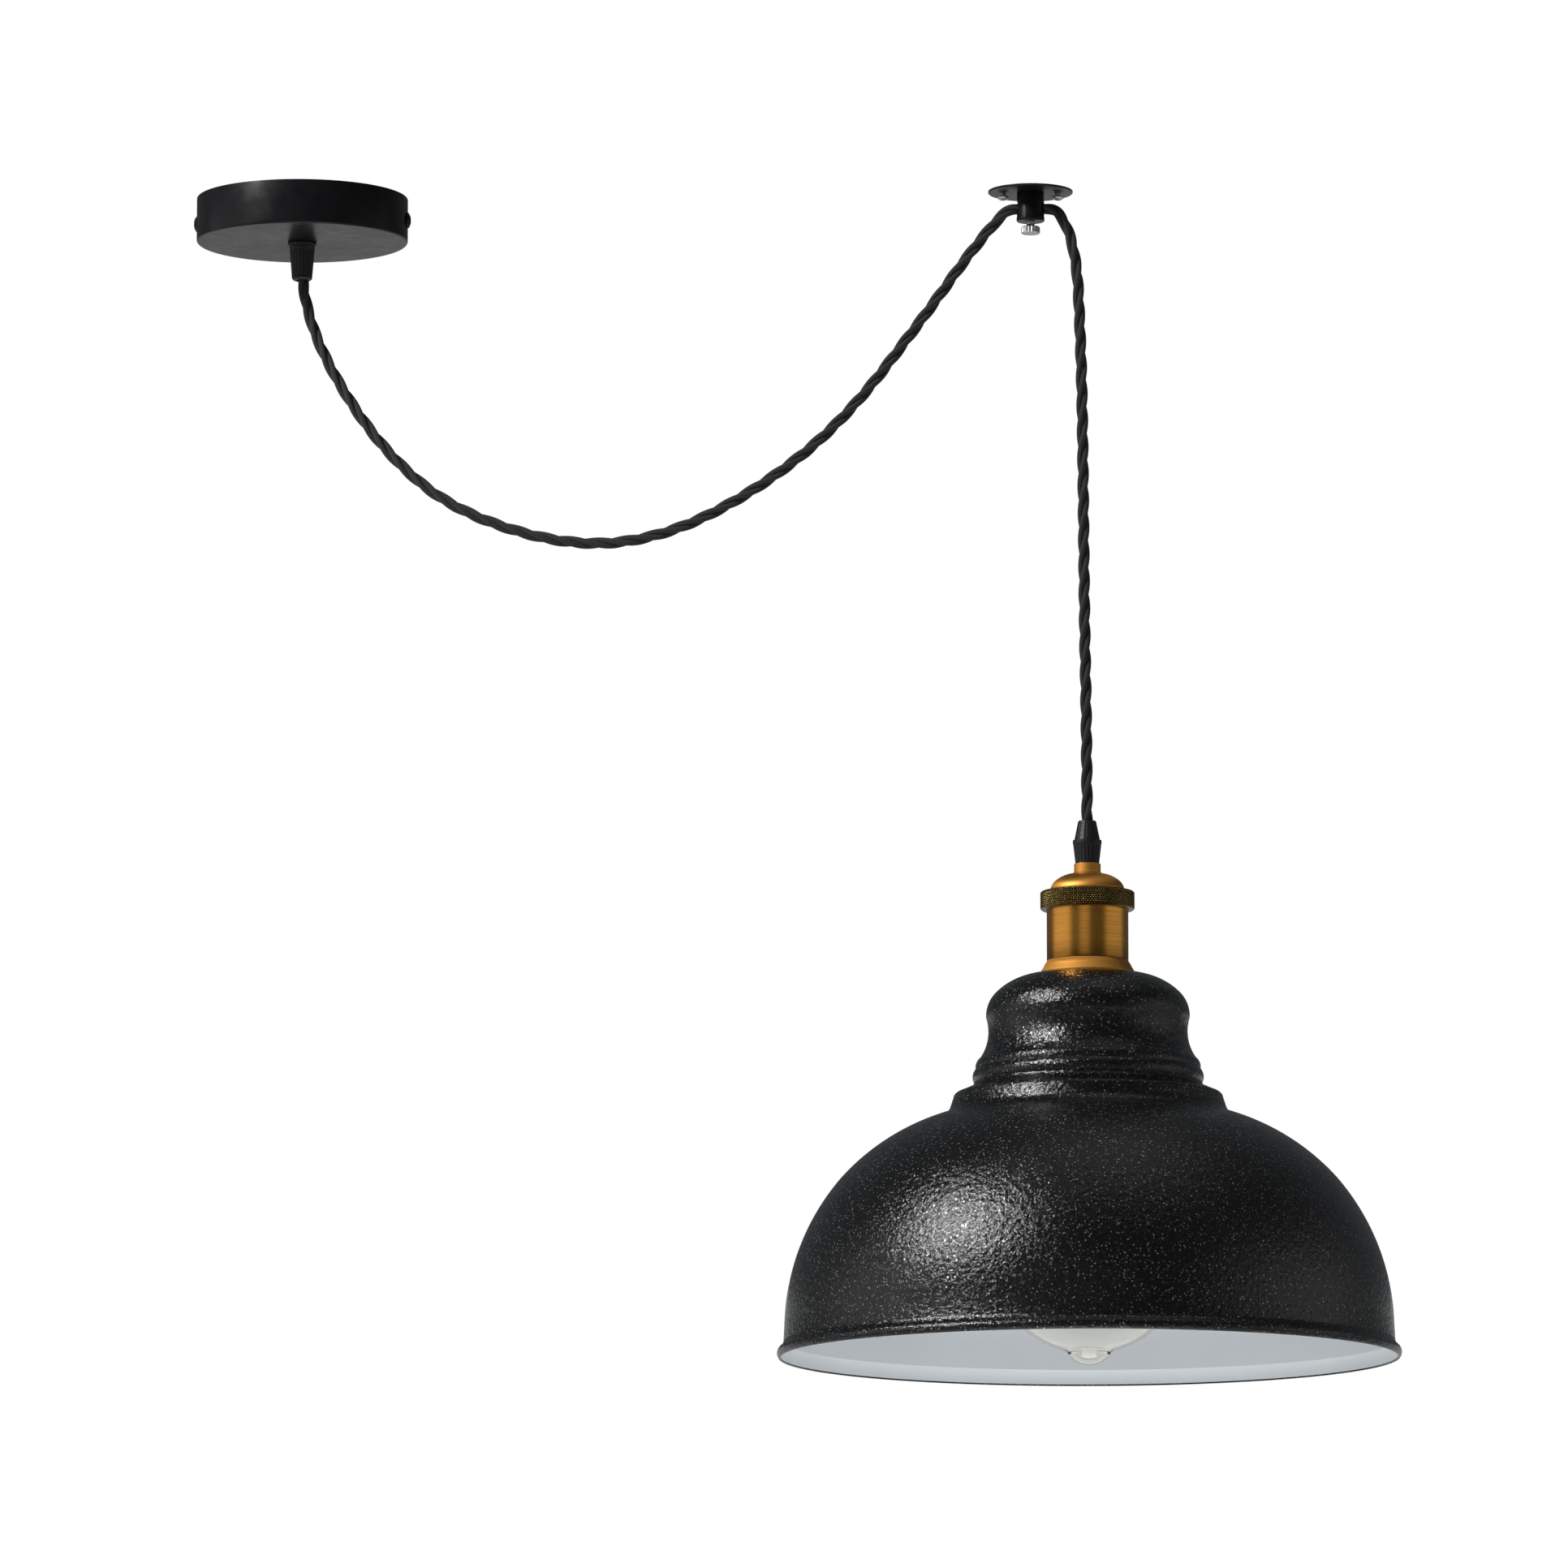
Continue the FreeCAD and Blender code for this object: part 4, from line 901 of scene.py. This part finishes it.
def make_bulb(glass, clear, brass, wire):
    """Clear globe with its screw cap, stem and filament."""
    low = -level("bulb_glass", 0, LAMP[2])
    globe = radius_of("bulb_glass")
    wall, tip, neck = 0.9, 4.7, 12.6
    widest = globe - (low - tip)
    outer = [
        (neck, 4.0), (neck, -14.0, 150), (19.0, -62.0, 95),
        (globe * 0.84, widest + globe * 0.62, -globe), (globe, widest, -globe),
        (11.3, tip - low + 1.6, 2.2), (9.8, tip - low - 0.3, -11), (0.02, -low),
    ]
    inner = [
        (0.02, wall - low, 10.1), (8.7, tip - low + 0.3), (10.8, tip - low + 1.6 + wall, globe - wall),
        (globe - wall, widest, globe - wall),
        (globe * 0.84 - wall, widest + globe * 0.62, -(95 + wall)), (19.0 - wall, -61.7, -(150 + wall)),
        (neck - wall, -14.0), (neck - wall, 4.0),
    ]
    shell = lathe("bulb_globe", outer + inner, LAMP, [glass], segments=224, edge=0.4, steps=20)
    fit(shell, "bulb", "amber_glass", "bulb_glass")

    wide, top = radius_of("bulb_cap"), level("bulb_cap", 1, LAMP[2])
    cap = lathe("bulb_screw_cap", [
        (0.02, top - 1.1), (8.4, top - 1.9), (wide - 0.5, 10.8), (wide - 0.5, -9.0), (wide, -9.0),
        (wide, 11.3), (9.0, top - 0.9), (4.6, top), (0.02, top),
    ], LAMP, [brass], closed=False, segments=160, edge=0.2, step=0.35, relief=cap_thread(wide))
    fit(cap, "bulb", "brass", "bulb_cap")
    stem = lathe("bulb_glass_stem", [
        (0.02, -88.0), (1.6, -88.0, -1.6), (2.0, -84.5), (1.4, -80), (1.4, -46.0, 30), (4.4, -24.0, 60),
        (11.2, -2.0), (11.2, 0.0), (0.02, 0.0),
    ], LAMP, [clear], closed=False, segments=64, edge=0.3)
    fit(stem, "bulb", "clear_glass", "bulb_stem")
    make_filament(wire)


def cap_thread(wide):
    """The rounded helical thread of the bulb's cap."""
    def relief(angle, radius, height):
        inside = np.clip((height + 6.5) / 2, 0, 1) * np.clip((11.0 - height) / 1.5, 0, 1)
        wave = 0.5 - 0.5 * np.cos(TURN * height / E27_PITCH - angle)
        return -1.1 * wave * inside * (radius > wide - 0.6)
    return relief


def make_filament(wire):
    """A squirrel-cage filament: eight hairpins of fine wire round the stem."""
    count, upper, lower = 8, -62.0, -122.0
    hairpin = ((0.1, 9.0, upper), (0.45, 12.0, lower), (0.75, 12.0, lower), (1.0, 9.0, upper))
    wire_radius = 0.00025
    vertices, faces, uvs = [], [], []
    for index in range(count):
        corners = []
        for step, reach, height in hairpin:
            angle = TURN / count * (index + step)
            corners.append((LAMP[0] + reach * math.cos(angle) * MM,
                            LAMP[1] + reach * math.sin(angle) * MM, LAMP[2] + height * MM))
        tube, sides, places = tube_mesh(smooth_line(corners), wire_radius, 8)
        base = len(vertices)
        vertices += list(tube)
        faces += [tuple(corner + base for corner in face) for face in sides]
        uvs += places
    piece = new_piece("bulb_filament_wires", vertices, faces, uvs, [wire])
    fit(piece, "bulb", "filament_wire", "bulb_filament")


# ----------------------------------------------------------------- light and stage
# Soft lights: name, direction from the lamp, distance, width and height, and brightness.
LIGHTS = [
    ("key", (-0.60, -0.33, 0.52), 2.2, (0.30, 0.30), 185.0),
    ("top", (0.10, -0.15, 1.0), 2.2, (1.8, 1.8), 0.40),
    ("left_panel", (-1.0, -0.15, 0.10), 2.2, (2.6, 1.3), 0.75),
    ("front_panel", (-0.18, -0.98, 0.12), 3.0, (1.4, 0.8), 0.50),
    ("right_panel", (1.0, -0.15, 0.10), 2.2, (2.6, 1.3), 0.45),
    ("back", (-0.05, 1.0, -0.16), 3.0, (5.0, 1.5), 0.38),
    ("below", (0.0, -0.25, -1.0), 1.8, (1.6, 1.6), 2.2),
]


def make_stage():
    """A pale floor far below, a white backdrop, dim surroundings and soft lights."""
    floor_mesh = bpy.data.meshes.new("floor")
    span, height = 14.0, -6.0
    corners = [(x * span, y * span, height) for x, y in ((-1, -1), (1, -1), (1, 1), (-1, 1))]
    floor_mesh.from_pydata(corners, [], [(0, 1, 2, 3)])
    floor = bpy.data.objects.new("floor", floor_mesh)
    bpy.context.scene.collection.objects.link(floor)
    pale = Shader("pale_floor", (0.8, 0.8, 0.8), 0.8)
    pale.colour(pale.mix(pale.noise(0.5, 2.0), (0.78, 0.78, 0.78), (0.82, 0.82, 0.82)))
    pale.set(Emission_Color=(1, 1, 1, 1), Emission_Strength=0.6)
    floor_mesh.materials.append(pale.material)

    world = bpy.data.worlds.new("studio")
    world.use_nodes = True
    bpy.context.scene.world = world
    tree = world.node_tree
    seen = tree.nodes.new("ShaderNodeLightPath")
    room = tree.nodes["Background"]
    room.inputs["Color"].default_value = (0.90, 0.95, 1.0, 1)
    room.inputs["Strength"].default_value = 0.10
    backdrop = tree.nodes.new("ShaderNodeBackground")
    backdrop.inputs["Color"].default_value = (1, 1, 1, 1)
    blend = tree.nodes.new("ShaderNodeMixShader")
    tree.links.new(seen.outputs["Is Camera Ray"], blend.inputs["Fac"])
    tree.links.new(room.outputs["Background"], blend.inputs[1])
    tree.links.new(backdrop.outputs["Background"], blend.inputs[2])
    tree.links.new(blend.outputs["Shader"], tree.nodes["World Output"].inputs["Surface"])

    for name, way, reach, size, glow in LIGHTS:
        lamp = bpy.data.lights.new(name, "AREA")
        lamp.shape = "RECTANGLE"
        lamp.size, lamp.size_y = size
        lamp.energy = glow * math.pi * size[0] * size[1]
        holder = bpy.data.objects.new(name, lamp)
        bpy.context.scene.collection.objects.link(holder)
        aim_point = Vector((LAMP[0], LAMP[1], LAMP[2] - 0.05))
        holder.location = aim_point + Vector(way).normalized() * reach
        holder.rotation_euler = (aim_point - holder.location).to_track_quat("-Z", "Y").to_euler()
        holder.visible_camera = False


def dress_hidden_parts(paint, steel, brass, nylon):
    """Materials for the CAD nodes that stay as they are."""
    white = moulded("white_nylon", (0.75, 0.75, 0.72), 0.4)
    ceramic = moulded("glazed_ceramic", (0.82, 0.81, 0.78), 0.15)
    cover = wire_cover()
    by_slot = {"black_satin": paint, "zinc_steel": steel, "brass": brass, "black_nylon": nylon,
               "white_plastic": white, "white_ceramic": ceramic, "wire_cover": cover}
    for entry in frame["record"]["subparts"]:
        node = frame["nodes"][entry["node"]]
        material = by_slot.get(entry["material_slot"])
        if material is not None and not node.hide_render:
            node.data.materials.clear()
            node.data.materials.append(material)


# ---------------------------------------------------------------------------- scene
make_camera()
make_cords(braided_cloth())
PAINT, NYLON, STEEL, BRASS = satin_black(), black_nylon(), bright_steel(), plain_brass()
BODY_LOW = LAMP[2] + level("holder_body", 0, LAMP[2]) * MM
# The second colour here is the body's brass darkened to about two thirds: painted shade for the dome,
# bush, skirt and lock ring, which are the same brass.
LIGHT_BRASS, SHADED_BRASS, DARK_BRASS = (0.84, 0.39, 0.07), (0.56, 0.27, 0.06), (0.46, 0.20, 0.035)
AMBER, CLEAR = (1.0, 0.985, 0.93), (0.99, 0.99, 0.985)
KNURL_PITCH = TURN * radius_of("knurled_ring") * MM / KNURL_COUNT
make_rose(PAINT, NYLON)
make_clamp(PAINT, STEEL)
make_holder(brushed_brass("brushed_brass", SHADED_BRASS, DARK_BRASS, 0.5),
            brushed_brass("brushed_brass_body", LIGHT_BRASS, DARK_BRASS, 0.25, BODY_LOW - 0.001,
                          BODY_LOW + 0.009),
            dark_bronze(KNURL_PITCH), NYLON)
make_shade(flecked_black(), white_enamel())
make_bulb(tinted_glass("amber_glass", AMBER), tinted_glass("clear_glass", CLEAR), BRASS, hot_wire())
dress_hidden_parts(PAINT, STEEL, BRASS, NYLON)
make_stage()
bpy.context.scene.view_settings.view_transform = "Standard"
